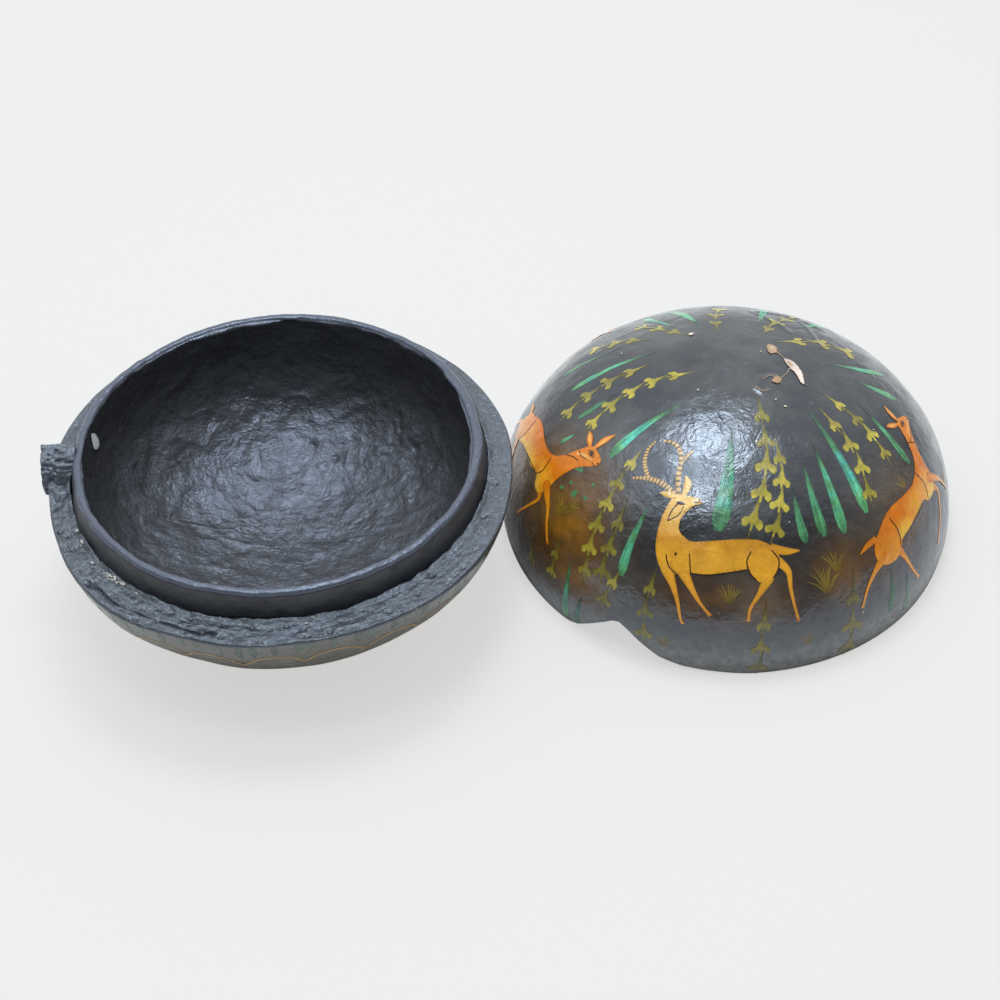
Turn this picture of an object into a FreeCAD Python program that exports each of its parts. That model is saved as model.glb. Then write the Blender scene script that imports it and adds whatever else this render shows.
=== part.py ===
import FreeCAD, Part
import math
import os
import Sketcher

# Round moulded-paper box in two halves, standing open. The base is at the origin with its hollow
# side up; the lid stands beside it on its rim. Millimetres, +Z up, origin at the centre of the foot.

SIZES = {
    # where lid and base meet
    "rim_radius": 88.0,
    "glue_gap": 0.1,  # film of glue between pieces that are stuck together
    "cut_overrun": 5.0,  # how far a cut runs past the face that it opens
    # outside of the base
    "ledge_height": 54.6,
    "ledge_width": 10.2,  # from the rim to the collar's root, with the collar in the middle
    "foot_radius": 29.0,
    "base_belly_rise": 9.0,  # centre of the base's oval outline, above the ledge
    "shell_floor": 4.2,  # under the bowl
    "ledge_edge_round": 1.0,
    # inner bowl, whose edge is the collar
    "collar_offset": 2.4,  # the bowl was glued in off centre, towards +Y
    "collar_height": 11.3,  # above the ledge
    "collar_lip": 3.2,  # wall at the collar's top
    "collar_lip_round": 1.3,
    "lining_thickness": 5.1,  # wall of the bowl, and of the collar at its root
    # pulp ring packed round the collar's root, flush with the ledge
    "ring_height": 6.0,
    "shell_lip": 2.2,  # what is left of the ledge outside the ring, where it is narrowest
    # block on the ledge that fits the lid's notch
    "key_length": 14.0,
    "key_height": 13.0,
    "key_nose_radius": 19.0,
    "key_clearance": 0.8,  # from the collar's root
    "key_setback": 0.1,  # from the rim
    "key_angle": 182.8,
    # lid
    "lid_height": 72.0,
    "lid_belly_height": 8.1,  # widest level, above the rim
    "lid_skirt_radius": 46.0,  # bow of the wall below the widest level
    "lid_wall": 4.5,
    "lid_lining_thickness": 2.5,
    "lid_edge_round": 1.0,
    # notch in the lid's rim, which goes over the key
    "notch_room": 2.5,  # above the key
    "notch_inset": 0.5,  # from the key's square end to under the notch's top
    "notch_lead": 23.0,  # past the key's square end
    "notch_tail": 11.5,  # past the key's nose
    "notch_apex_round": 4.0,
    # where the lid stands
    "lid_tuck": 1.4,  # how far the lid's rim reaches under the ledge, seen from above
    "lid_bearing": 10.0,
    "lid_turn": 59.7,
}

# A sketch numbers the points of a line or arc in this order, and its own axes downwards from zero
POINTS = ("edge", "start", "end", "centre")
START, END, CENTRE = (POINTS.index(name) for name in POINTS[1:])
H_AXIS, V_AXIS = -START, -END
ORIGIN = (H_AXIS, START)

doc = FreeCAD.newDocument("round_box")
sheet = doc.addObject("Spreadsheet::Sheet", "sizes")
for row, (alias, value) in enumerate(SIZES.items(), start=1):
    sheet.set("A%d" % row, alias.replace("_", " "))
    sheet.set("B%d" % row, str(value))
    sheet.setAlias("B%d" % row, alias)
doc.recompute()


def cell(words):
    """An expression over the sheet: each word that is a size becomes that size's cell."""
    return " ".join("sizes." + word if word in SIZES else word for word in words.split())


def vector(point):
    return FreeCAD.Vector(point[0], point[1], 0)


def new_body(label):
    body = doc.addObject("PartDesign::Body", label)
    body.Label = label
    return body


def new_sketch(body, name, role):
    sketch = body.newObject("Sketcher::SketchObject", name)
    plane = next(feature for feature in body.Origin.OriginFeatures if feature.Role == role)
    sketch.AttachmentSupport = [(plane, "")]
    sketch.MapMode = "FlatFace"
    return sketch


def bind(sketch, kind, refs, value, words):
    """Add a dimension and tie it to the sheet."""
    index = sketch.addConstraint(Sketcher.Constraint(kind, *refs, value))
    sketch.setExpression("Constraints[%d]" % index, cell(words))


def place(sketch, shape, end, across=None, up=None):
    """Tie a point's distances from the sketch's origin to the sheet."""
    point = sketch.getPoint(shape, end)
    if across is not None:
        bind(sketch, "DistanceX", (*ORIGIN, shape, end), point.x, across)
    if up is not None:
        bind(sketch, "DistanceY", (*ORIGIN, shape, end), point.y, up)


def rule(sketch, kind, *refs):
    sketch.addConstraint(Sketcher.Constraint(kind, *refs))


def line(sketch, start, end, kind=None):
    index = sketch.addGeometry(Part.LineSegment(vector(start), vector(end)), False)
    if kind:
        rule(sketch, kind, index)
    return index


def arc(sketch, centre, start, end):
    """Counter-clockwise arc of a circle."""
    first = math.atan2(start[1] - centre[1], start[0] - centre[0])
    last = math.atan2(end[1] - centre[1], end[0] - centre[0])
    circle = Part.Circle(vector(centre), FreeCAD.Vector(0, 0, 1), math.dist(centre, start))
    return sketch.addGeometry(Part.ArcOfCircle(circle, first, last), False)


def oval_axes(level, start, end):
    """Half width and half height of the upright oval about (0, level) through two points."""
    rise_a = (start[1] - level) ** 2
    rise_b = (end[1] - level) ** 2
    whole = start[0] ** 2 * rise_b - end[0] ** 2 * rise_a
    width = math.sqrt(whole / (rise_b - rise_a))
    height = math.sqrt(whole / (start[0] ** 2 - end[0] ** 2))
    return width, height


def oval_arc(sketch, level, start, end):
    """Counter-clockwise arc of an upright oval whose centre lies on the turning axis."""
    width, height = oval_axes(level, start, end)
    side = vector((width, level))
    top = vector((0, level + height))
    wide = width >= height
    oval = Part.Ellipse(side if wide else top, top if wide else side, vector((0, level)))
    first = oval.parameter(vector(start))
    last = oval.parameter(vector(end))
    if last < first:
        last += 2 * math.pi
    index = sketch.addGeometry(Part.ArcOfEllipse(oval, first, last), False)
    long_axis = sketch.GeometryCount
    sketch.exposeInternalGeometry(index)
    rule(sketch, "Horizontal" if wide else "Vertical", long_axis)
    rule(sketch, "PointOnObject", index, CENTRE, V_AXIS)
    return index


def close(sketch, *shapes):
    """Weld each shape's end to the next one's start, round to the first."""
    for shape, following in zip(shapes, shapes[1:] + shapes[:1]):
        rule(sketch, "Coincident", shape, END, following, START)


def turn(body, kind, name, sketch):
    """Turn a section about its own upright axis, as a solid or as a cut."""
    feature = body.newObject("PartDesign::" + kind, name)
    feature.Profile = sketch
    feature.ReferenceAxis = (sketch, ["V_Axis"])
    feature.Angle = 360
    sketch.Visibility = False
    return feature


def round_edges(body, name, circles, alias):
    """Round the circular edges that lie nearest to the given (radius, height) pairs."""
    doc.recompute()
    base = body.Tip
    found = {}
    for number, edge in enumerate(base.Shape.Edges, start=1):
        if not edge.Degenerated and isinstance(edge.Curve, Part.Circle):
            found["Edge%d" % number] = (edge.Curve.Radius, edge.Curve.Center.z)
    nearest = [min(found, key=lambda edge: math.dist(found[edge], circle)) for circle in circles]
    fillet = body.newObject("PartDesign::Fillet", name)
    fillet.Base = (base, nearest)
    fillet.setExpression("Radius", cell(alias))
    return fillet


# Sizes worked out from the driving ones, for the first drawing of each section

rim = SIZES["rim_radius"]
ledge = SIZES["ledge_height"]
gap = SIZES["glue_gap"]
overrun = SIZES["cut_overrun"]
root = rim - SIZES["ledge_width"]
bore = root - SIZES["lining_thickness"]
collar_top = ledge + SIZES["collar_height"]
seat = root + gap
bowl_under = SIZES["shell_floor"] + gap
bowl_floor = bowl_under + SIZES["lining_thickness"]
ring_outside = rim - SIZES["shell_lip"] - SIZES["collar_offset"] - gap
ROOT = "rim_radius - ledge_width"
BORE = ROOT + " - lining_thickness"
SEAT = ROOT + " + glue_gap"
BOWL_UNDER = "shell_floor + glue_gap"
BOWL_FLOOR = BOWL_UNDER + " + lining_thickness"
RING_OUTSIDE = "rim_radius - shell_lip - collar_offset - glue_gap"


def base_shell():
    """Outer bowl: oval outside, flat foot, broad flat ledge, hollowed for the bowl and the ring."""
    body = new_body("base_shell")
    section = new_sketch(body, "base_outline", "XZ_Plane")
    foot = line(section, (0, 0), (SIZES["foot_radius"], 0), "Horizontal")
    level = ledge + SIZES["base_belly_rise"]
    wall = oval_arc(section, level, (SIZES["foot_radius"], 0), (rim, ledge))
    top = line(section, (rim, ledge), (0, ledge), "Horizontal")
    axis = line(section, (0, ledge), (0, 0), "Vertical")
    close(section, foot, wall, top, axis)
    rule(section, "Coincident", foot, START, *ORIGIN)
    place(section, wall, CENTRE, up="ledge_height + base_belly_rise")
    place(section, wall, START, across="foot_radius")
    place(section, wall, END, across="rim_radius", up="ledge_height")
    turn(body, "Revolution", "base_solid", section)
    round_edges(body, "ledge_edge", [(rim, ledge)], "ledge_edge_round")

    hollow = new_sketch(body, "bowl_seat_outline", "XZ_Plane")
    hollow.setExpression("AttachmentOffset.Base.z", "-" + cell("collar_offset"))
    bowl = oval_arc(hollow, ledge, (0, SIZES["shell_floor"]), (seat, ledge))
    wall = line(hollow, (seat, ledge), (seat, ledge + overrun), "Vertical")
    top = line(hollow, (seat, ledge + overrun), (0, ledge + overrun), "Horizontal")
    axis = line(hollow, (0, ledge + overrun), (0, SIZES["shell_floor"]))
    close(hollow, bowl, wall, top, axis)
    rule(hollow, "PointOnObject", axis, START, V_AXIS)
    place(hollow, bowl, CENTRE, up="ledge_height")
    rule(hollow, "PointOnObject", bowl, START, V_AXIS)
    place(hollow, bowl, START, up="shell_floor")
    place(hollow, bowl, END, across=SEAT, up="ledge_height")
    place(hollow, wall, END, up="ledge_height + cut_overrun")
    turn(body, "Groove", "bowl_seat", hollow)

    rebate = new_sketch(body, "ring_seat_outline", "XZ_Plane")
    rebate.setExpression("AttachmentOffset.Base.z", "-" + cell("collar_offset"))
    ring_section(rebate, root, ring_outside + gap, ledge - SIZES["ring_height"] - gap, ledge + overrun,
                 ROOT, RING_OUTSIDE + " + glue_gap", "ledge_height - ring_height - glue_gap",
                 "ledge_height + cut_overrun")
    turn(body, "Groove", "ring_seat", rebate)
    return body


def ring_section(sketch, inside, outside, low, high, inside_words, outside_words, low_words, high_words):
    """Upright rectangle beside the axis."""
    bottom = line(sketch, (inside, low), (outside, low), "Horizontal")
    outer = line(sketch, (outside, low), (outside, high), "Vertical")
    top = line(sketch, (outside, high), (inside, high), "Horizontal")
    inner = line(sketch, (inside, high), (inside, low), "Vertical")
    close(sketch, bottom, outer, top, inner)
    place(sketch, bottom, START, across=inside_words, up=low_words)
    place(sketch, top, START, across=outside_words, up=high_words)


def ledge_ring():
    """Pulp packed between the shell's wall and the collar, level with the ledge."""
    body = new_body("ledge_ring")
    section = new_sketch(body, "ring_outline", "XZ_Plane")
    ring_section(section, seat, ring_outside, ledge - SIZES["ring_height"], ledge,
                 SEAT, RING_OUTSIDE, "ledge_height - ring_height", "ledge_height")
    turn(body, "Revolution", "ring_solid", section)
    body.setExpression("Placement.Base.y", cell("collar_offset"))
    return body


def inner_bowl():
    """Lining bowl; above the ledge its wall goes on as a tapered collar with a rounded lip."""
    body = new_body("inner_bowl")
    section = new_sketch(body, "bowl_outline", "XZ_Plane")
    lip = bore + SIZES["collar_lip"]
    outside = oval_arc(section, ledge, (0, bowl_under), (root, ledge))
    taper = line(section, (root, ledge), (lip, collar_top))
    top = line(section, (lip, collar_top), (bore, collar_top), "Horizontal")
    wall = line(section, (bore, collar_top), (bore, ledge), "Vertical")
    inside = oval_arc(section, ledge, (0, bowl_floor), (bore, ledge))
    axis = line(section, (0, bowl_floor), (0, bowl_under))
    for first, second in ((outside, taper), (taper, top), (top, wall), (axis, outside)):
        rule(section, "Coincident", first, END, second, START)
    rule(section, "Coincident", wall, END, inside, END)
    rule(section, "Coincident", inside, START, axis, START)
    for bowl in (outside, inside):
        rule(section, "PointOnObject", bowl, START, V_AXIS)
        place(section, bowl, CENTRE, up="ledge_height")
    place(section, outside, START, up=BOWL_UNDER)
    place(section, outside, END, across=ROOT, up="ledge_height")
    place(section, inside, START, up=BOWL_FLOOR)
    place(section, inside, END, across=BORE, up="ledge_height")
    place(section, top, START, across=BORE + " + collar_lip", up="ledge_height + collar_height")
    turn(body, "Revolution", "bowl_solid", section)
    round_edges(body, "collar_lip_edges", [(bore, collar_top), (lip, collar_top)], "collar_lip_round")
    body.setExpression("Placement.Base.y", cell("collar_offset"))
    return body


def key_block():
    """Block on the ledge, square at one end and sloping down in a bow to a nose at the other."""
    body = new_body("key_block")
    half = SIZES["key_length"] / 2
    high = SIZES["key_height"]
    side = new_sketch(body, "key_side", "YZ_Plane")
    side.setExpression("AttachmentOffset.Base.z", cell(ROOT + " + key_clearance"))
    foot = line(side, (-half, 0), (half, 0))
    chord = math.hypot(2 * half, high)
    drop = math.sqrt(SIZES["key_nose_radius"] ** 2 - chord ** 2 / 4) / chord
    centre = (-drop * high, high / 2 - drop * 2 * half)
    nose = arc(side, centre, (half, 0), (-half, high))
    back = line(side, (-half, high), (-half, 0), "Vertical")
    close(side, foot, nose, back)
    rule(side, "PointOnObject", foot, START, H_AXIS)
    rule(side, "Symmetric", foot, START, foot, END, V_AXIS)
    bind(side, "DistanceX", (foot, START, foot, END), 2 * half, "key_length")
    place(side, back, START, up="key_height")
    bind(side, "Radius", (nose,), SIZES["key_nose_radius"], "key_nose_radius")
    pad = body.newObject("PartDesign::Pad", "key_solid")
    pad.Profile = side
    pad.setExpression("Length", cell("ledge_width - key_clearance - key_setback"))
    side.Visibility = False
    body.setExpression("Placement.Base.z", cell("ledge_height"))
    body.setExpression("Placement.Rotation.Angle", cell("key_angle"))
    return body


def dome_outline(sketch, inset, inset_words):
    """Bowed skirt from the rim to the belly, then an oval to the crown, set in by a wall."""
    belly = SIZES["lid_belly_height"]
    skirt_radius = SIZES["lid_skirt_radius"] - inset
    skirt_centre = (rim - math.sqrt(SIZES["lid_skirt_radius"] ** 2 - belly ** 2), belly)
    widest = (skirt_centre[0] + skirt_radius, belly)
    reach = skirt_centre[0] + math.sqrt(skirt_radius ** 2 - belly ** 2)
    skirt = arc(sketch, skirt_centre, (reach, 0), widest)
    dome = oval_arc(sketch, belly, widest, (0, SIZES["lid_height"] - inset))
    rule(sketch, "PointOnObject", skirt, START, H_AXIS)
    bind(sketch, "Radius", (skirt,), skirt_radius, "lid_skirt_radius" + inset_words)
    place(sketch, skirt, CENTRE, up="lid_belly_height",
          across="rim_radius - sqrt( lid_skirt_radius ^ 2 - lid_belly_height ^ 2 )")
    rule(sketch, "Coincident", skirt, END, dome, START)
    place(sketch, dome, CENTRE, up="lid_belly_height")
    place(sketch, dome, START, up="lid_belly_height")
    rule(sketch, "PointOnObject", dome, END, V_AXIS)
    place(sketch, dome, END, up="lid_height" + inset_words)
    return skirt, dome, reach


def dome_shell(label, outset, outset_words, inset, inset_words):
    """Dome between two ovals, open at the rim."""
    body = new_body(label)
    section = new_sketch(body, label + "_outline", "YZ_Plane")
    outer_skirt, outer_dome, outer_reach = dome_outline(section, outset, outset_words)
    inner_skirt, inner_dome, inner_reach = dome_outline(section, inset, inset_words)
    floor = line(section, (inner_reach, 0), (outer_reach, 0))
    axis = line(section, (0, SIZES["lid_height"] - outset), (0, SIZES["lid_height"] - inset))
    rule(section, "Coincident", floor, START, inner_skirt, START)
    rule(section, "Coincident", floor, END, outer_skirt, START)
    rule(section, "Coincident", axis, START, outer_dome, END)
    rule(section, "Coincident", axis, END, inner_dome, END)
    turn(body, "Revolution", label + "_solid", section)
    return body


def touch_point(outer, centre, radius, side):
    """Where the line from an outer point touches a circle, on its left (1) or right (-1)."""
    away = math.dist(outer, centre)
    heading = math.atan2(outer[1] - centre[1], outer[0] - centre[0]) + side * math.acos(radius / away)
    return centre[0] + radius * math.cos(heading), centre[1] + radius * math.sin(heading)


def cut_notch(body):
    """Cut the notch through the rim on the +X side: two slopes that meet in a rounded top."""
    half = SIZES["key_length"] / 2
    radius = SIZES["notch_apex_round"]
    centre = (SIZES["notch_inset"] - half, SIZES["key_height"] + SIZES["notch_room"] - radius)
    toes = ((-half - SIZES["notch_lead"], 0), (half + SIZES["notch_tail"], 0))
    left = touch_point(toes[0], centre, radius, -1)
    right = touch_point(toes[1], centre, radius, 1)
    outline = new_sketch(body, body.Label + "_notch_outline", "YZ_Plane")
    bottom = line(outline, (toes[0][0], -overrun), (toes[1][0], -overrun), "Horizontal")
    tail_side = line(outline, (toes[1][0], -overrun), toes[1], "Vertical")
    tail_slope = line(outline, toes[1], right)
    apex = arc(outline, centre, right, left)
    lead_slope = line(outline, left, toes[0])
    lead_side = line(outline, toes[0], (toes[0][0], -overrun), "Vertical")
    for first, second in ((bottom, tail_side), (tail_side, tail_slope), (lead_slope, lead_side),
                          (lead_side, bottom)):
        rule(outline, "Coincident", first, END, second, START)
    rule(outline, "Tangent", tail_slope, END, apex, START)
    rule(outline, "Tangent", apex, END, lead_slope, START)
    rule(outline, "PointOnObject", tail_side, END, H_AXIS)
    rule(outline, "PointOnObject", lead_side, START, H_AXIS)
    place(outline, apex, CENTRE, across="notch_inset - key_length / 2",
          up="key_height + notch_room - notch_apex_round")
    bind(outline, "Radius", (apex,), radius, "notch_apex_round")
    place(outline, tail_side, END, across="notch_tail + key_length / 2")
    place(outline, lead_side, START, across="0 - notch_lead - key_length / 2")
    place(outline, bottom, START, up="0 - cut_overrun")
    doc.recompute()
    before = body.Tip.Shape.Volume
    pocket = body.newObject("PartDesign::Pocket", body.Label + "_notch")
    pocket.Profile = outline
    pocket.Reversed = True
    pocket.setExpression("Length", cell("rim_radius + cut_overrun"))
    outline.Visibility = False
    doc.recompute()
    if not pocket.Shape.Volume < before:
        raise RuntimeError("the notch of %s cuts nothing" % body.Label)


def stand_lid(body):
    """Set a piece of the lid beside the base, turned as it was put down."""
    away = "( 2 * rim_radius - lid_tuck )"
    body.setExpression("Placement.Base.x", cell(away + " * cos( lid_bearing * 1 deg )"))
    body.setExpression("Placement.Base.y", cell(away + " * sin( lid_bearing * 1 deg )"))
    body.setExpression("Placement.Rotation.Angle", cell("key_angle + lid_turn"))


def lid_shell():
    """Painted dome with the notch in its rim."""
    body = dome_shell("lid_shell", 0, "", SIZES["lid_wall"], " - lid_wall")
    round_edges(body, "lid_edge", [(rim, 0)], "lid_edge_round")
    cut_notch(body)
    stand_lid(body)
    return body


def lid_lining():
    """Thinner dome glued inside the lid."""
    outset = SIZES["lid_wall"] + gap
    inset = outset + SIZES["lid_lining_thickness"]
    words = " - lid_wall - glue_gap"
    body = dome_shell("lid_lining", outset, words, inset, words + " - lid_lining_thickness")
    cut_notch(body)
    stand_lid(body)
    return body


pieces = [base_shell(), inner_bowl(), ledge_ring(), key_block(), lid_shell(), lid_lining()]
doc.recompute()

for item in doc.Objects:
    if "Invalid" in item.State or "Error" in item.State:
        raise RuntimeError("%s did not build: %s" % (item.Label, item.State))
for piece in pieces:
    if piece.Shape.isNull() or not piece.Shape.isValid() or len(piece.Shape.Solids) != 1:
        raise RuntimeError("%s is not one sound solid" % piece.Label)

os.makedirs("parts", exist_ok=True)
for piece in pieces:
    piece.Shape.exportStep("parts/%s.step" % piece.Label)
    print("%s %.0f mm3" % (piece.Label, piece.Shape.Volume))
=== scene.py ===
import itertools
import math

import bmesh
import bpy
import numpy as np
from mathutils import Matrix, Vector
from mathutils.geometry import delaunay_2d_cdt


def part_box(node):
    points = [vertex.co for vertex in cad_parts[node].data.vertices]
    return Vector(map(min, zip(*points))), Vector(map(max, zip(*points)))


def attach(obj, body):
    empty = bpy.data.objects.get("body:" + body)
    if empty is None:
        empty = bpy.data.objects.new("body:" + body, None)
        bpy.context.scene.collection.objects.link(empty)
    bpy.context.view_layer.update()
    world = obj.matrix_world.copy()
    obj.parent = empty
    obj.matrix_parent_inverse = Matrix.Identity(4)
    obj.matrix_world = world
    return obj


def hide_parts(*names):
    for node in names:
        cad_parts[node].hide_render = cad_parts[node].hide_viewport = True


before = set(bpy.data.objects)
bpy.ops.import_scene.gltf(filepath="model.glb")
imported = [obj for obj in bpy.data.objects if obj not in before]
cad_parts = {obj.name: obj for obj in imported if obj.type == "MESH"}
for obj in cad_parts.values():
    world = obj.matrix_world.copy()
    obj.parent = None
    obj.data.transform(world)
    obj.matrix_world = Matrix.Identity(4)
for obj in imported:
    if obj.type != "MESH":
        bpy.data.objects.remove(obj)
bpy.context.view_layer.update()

# A round moulded-paper box standing open: the base on the left, the painted lid on the right.
# Piece sizes are in millimetres and become metres at the end, by mm.
mm = 0.001
scene = bpy.context.scene


# Small tools

def fromScreen(red, green, blue):
    # a colour as a screen shows it, 0 to 255, made linear for the shaders
    part = np.array([red, green, blue]) / 255
    linear = np.where(part <= 0.04045, part / 12.92, ((part + 0.055) / 1.055) ** 2.4)
    return (*[float(v) for v in linear], 1.0)


def palette(colours):
    return {name: fromScreen(*colour) for name, colour in colours.items()}


def latticeValue(cell, seed):
    hashed = (cell[..., 0] * 73856093) ^ (cell[..., 1] * 19349663) ^ (cell[..., 2] * 83492791) ^ (seed * 7919)
    for shift, factor in ((15, 2246822519), (13, 3266489917)):
        hashed = ((hashed ^ (hashed >> shift)) * factor) & 0xFFFFFFFF
    return (hashed ^ (hashed >> 16)) / 0x7FFFFFFF - 1


def softNoise(points, size, seed=0):
    # smooth value noise between -1 and 1, with lumps of about this size in mm
    place = np.asarray(points, float) / size
    cell = np.floor(place).astype(np.int64)
    part = place - cell
    part = part ** 3 * (part * (part * 6 - 15) + 10)
    total = 0
    for corner in itertools.product((0, 1), repeat=3):
        weight = np.where(corner, part, 1 - part).prod(axis=-1)
        total = total + weight * latticeValue(cell + np.array(corner), seed)
    return total


def lumps(points, layers, seed=0):
    # layers are (size, height) pairs in mm
    return sum(height * softNoise(points, size, seed + k) for k, (size, height) in enumerate(layers))


def smoothStep(value, low, high):
    part = np.clip((value - low) / (high - low), 0, 1)
    return part * part * (3 - 2 * part)


def roundBearings(columns):
    return np.linspace(0, 2 * math.pi, columns, endpoint=False)


def aroundAxis(radius, bearing, height=0.0):
    # points about the upright axis, with bearings in radians
    spread = np.broadcast_arrays(radius * np.cos(bearing), radius * np.sin(bearing), height)
    return np.stack(spread, axis=-1)


def polarPoint(bearing, away, height=0.0):
    return aroundAxis(away, math.radians(bearing), height)


def turnFrom(middle, bearing):
    # degrees from one bearing to another, the short way round
    return (bearing - middle + 180) % 360 - 180


def splineThrough(points, step, closed=False):
    # a smooth curve through the points; columns after x and y, such as width, go along with it
    points = np.asarray(points, float)
    if closed:
        guide = np.concatenate([points[-1:], points, points[:2]])
    else:
        guide = np.concatenate([2 * points[:1] - points[1:2], points, 2 * points[-1:] - points[-2:-1]])
    parts = []
    for before, start, end, after in zip(guide, guide[1:], guide[2:], guide[3:]):
        count = max(2, round(math.dist(start[:2], end[:2]) / step))
        t = np.arange(count)[:, None] / count
        parts.append(start + t * (end - before) / 2 + t ** 2 * (before - 2.5 * start + 2 * end - after / 2)
                     + t ** 3 * (1.5 * (start - end) + (after - before) / 2))
    if not closed:
        parts.append(points[-1:])
    return np.concatenate(parts)


def lineGap(points, line, closed=False):
    # how far each point lies from a line of points
    ends = np.roll(line, -1, axis=0) if closed else line[1:]
    gap = np.full(len(points), np.inf)
    for start, end in zip(line, ends):
        reach = end - start
        share = np.clip((points - start) @ reach / max(reach @ reach, 1e-9), 0, 1)
        gap = np.minimum(gap, np.linalg.norm(points - start - share[:, None] * reach, axis=1))
    return gap


def dents(points, places, sizes):
    # how deep round dents press into a surface, each about one of the places
    depth = np.zeros(points.shape[:-1])
    for place, (wide, deep) in zip(places, sizes):
        depth += deep * np.exp(-((points - place) ** 2).sum(axis=-1) / wide ** 2)
    return depth


def addObject(name, vertices, faces, closed=True):
    mesh = bpy.data.meshes.new(name)
    mesh.from_pydata((np.asarray(vertices) * mm).tolist(), [], faces)
    if closed:
        work = bmesh.new()
        work.from_mesh(mesh)
        bmesh.ops.recalc_face_normals(work, faces=work.faces)
        work.to_mesh(mesh)
        work.free()
    mesh.polygons.foreach_set("use_smooth", [True] * len(mesh.polygons))
    piece = bpy.data.objects.new(name, mesh)
    scene.collection.objects.link(piece)
    return piece


def turnedPiece(name, rows, poles=True):
    # rows of points that go round the piece; the first and last rows close to a point, or onto each other
    rows = np.asarray(rows)
    count, columns = rows.shape[:2]
    around = np.arange(columns)
    after = (around + 1) % columns
    if poles:
        rings = rows[1:-1]
        vertices = np.concatenate([rings.reshape(-1, 3), rows[:1, 0], rows[-1:, 0]])
        top, bottom = len(vertices) - 2, len(vertices) - 1
        last = (len(rings) - 1) * columns
        faces = [(top, int(b), int(a)) for a, b in zip(around, after)]
        faces += [(bottom, int(last + a), int(last + b)) for a, b in zip(around, after)]
        pairs = [(k, k + 1) for k in range(len(rings) - 1)]
    else:
        vertices = rows.reshape(-1, 3)
        faces = []
        pairs = [(k, (k + 1) % count) for k in range(count)]
    for low, high in pairs:
        quads = np.stack([low * columns + around, low * columns + after, high * columns + after,
                          high * columns + around], axis=1)
        faces += quads.tolist()
    return addObject(name, vertices, faces)


def setMask(piece, name, values):
    layer = piece.data.attributes.new(name, "FLOAT", "POINT")
    layer.data.foreach_set("value", np.asarray(values, np.float32))


def vertexValues(mesh, kind):
    values = np.empty(len(mesh.vertices) * 3)
    mesh.vertices.foreach_get(kind, values)
    return values.reshape(-1, 3)


def vertexPlaces(piece):
    return vertexValues(piece.data, "co") / mm


def finishPiece(piece, body, slot, material, *nodes):
    piece.data.materials.append(material)
    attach(piece, body)
    if nodes:
        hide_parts(*nodes)
    return piece


def nodeBox(name):
    low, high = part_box(name)
    return np.array(low) / mm, np.array(high) / mm


# Node tools

def setInputs(tree, node, inputs):
    # an input is joined to another node's output or given a value
    for key, value in inputs.items():
        if isinstance(value, bpy.types.NodeSocket):
            tree.links.new(value, node.inputs[key])
        else:
            node.inputs[key].default_value = value


def put(tree, kind, inputs=None, **settings):
    node = tree.nodes.new(kind)
    for key, value in settings.items():
        setattr(node, key, value)
    setInputs(tree, node, inputs or {})
    return node


def mixColour(tree, factor, first, second):
    return put(tree, "ShaderNodeMix", {0: factor, 6: first, 7: second}, data_type="RGBA").outputs[2]


def mixFloat(tree, factor, first, second):
    return put(tree, "ShaderNodeMix", {0: factor, 2: first, 3: second}).outputs[0]


def fade(tree, value, low, high, start=0.0, end=1.0):
    inputs = {"Value": value, "From Min": low, "From Max": high, "To Min": start, "To Max": end}
    return put(tree, "ShaderNodeMapRange", inputs, interpolation_type="SMOOTHSTEP").outputs[0]


def maths(tree, way, first, second):
    return put(tree, "ShaderNodeMath", {0: first, 1: second}, operation=way).outputs[0]


def times(tree, first, second):
    return maths(tree, "MULTIPLY", first, second)


def noise(tree, place, scale, detail=4.0, rough=0.55, twist=0.0):
    inputs = {"Vector": place, "Scale": scale, "Detail": detail, "Roughness": rough, "Distortion": twist}
    return put(tree, "ShaderNodeTexNoise", inputs).outputs[0]


def newMaterial(name):
    material = bpy.data.materials.new(name)
    material.use_nodes = True
    tree = material.node_tree
    return material, tree, tree.nodes["Principled BSDF"]


def newGroup(name, inputs, outputs):
    group = bpy.data.node_groups.new(name, "ShaderNodeTree")
    for socket, kind in inputs:
        group.interface.new_socket(socket, in_out="INPUT", socket_type=kind)
    for socket, kind in outputs:
        group.interface.new_socket(socket, in_out="OUTPUT", socket_type=kind)
    return group, put(group, "NodeGroupInput"), put(group, "NodeGroupOutput")


def useGroup(tree, group, inputs):
    return put(tree, "ShaderNodeGroup", inputs, node_tree=group)


def objectPlace(tree):
    return put(tree, "ShaderNodeTexCoord").outputs["Object"]


# Shared effects

def paperLumpsGroup():
    # height of hand-laid paper under a brushed coat: dents, creases and soft wrinkles
    group, given, out = newGroup("paperLumps", [("Dent Size", "NodeSocketFloat")],
                                 [("Height", "NodeSocketFloat")])
    place = objectPlace(group)
    broad = noise(group, place, given.outputs["Dent Size"], 5.0, 0.6, 0.6)
    finer = noise(group, place, times(group, given.outputs["Dent Size"], 4.5), 4.0, 0.6, 0.3)
    creased = put(group, "ShaderNodeTexVoronoi",
                  {"Vector": place, "Scale": times(group, given.outputs["Dent Size"], 1.6)},
                  feature="SMOOTH_F1").outputs["Distance"]
    fold = noise(group, place, times(group, given.outputs["Dent Size"], 0.8), 3.0, 0.55, 1.4)
    wrinkle = maths(group, "ABSOLUTE", maths(group, "SUBTRACT", fold, 0.5), 0.0)
    total = maths(group, "ADD", broad, times(group, finer, 0.25))
    total = maths(group, "ADD", total, times(group, creased, 0.35))
    total = maths(group, "SUBTRACT", total, times(group, wrinkle, 0.6))
    group.links.new(total, out.inputs["Height"])
    return group


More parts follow.
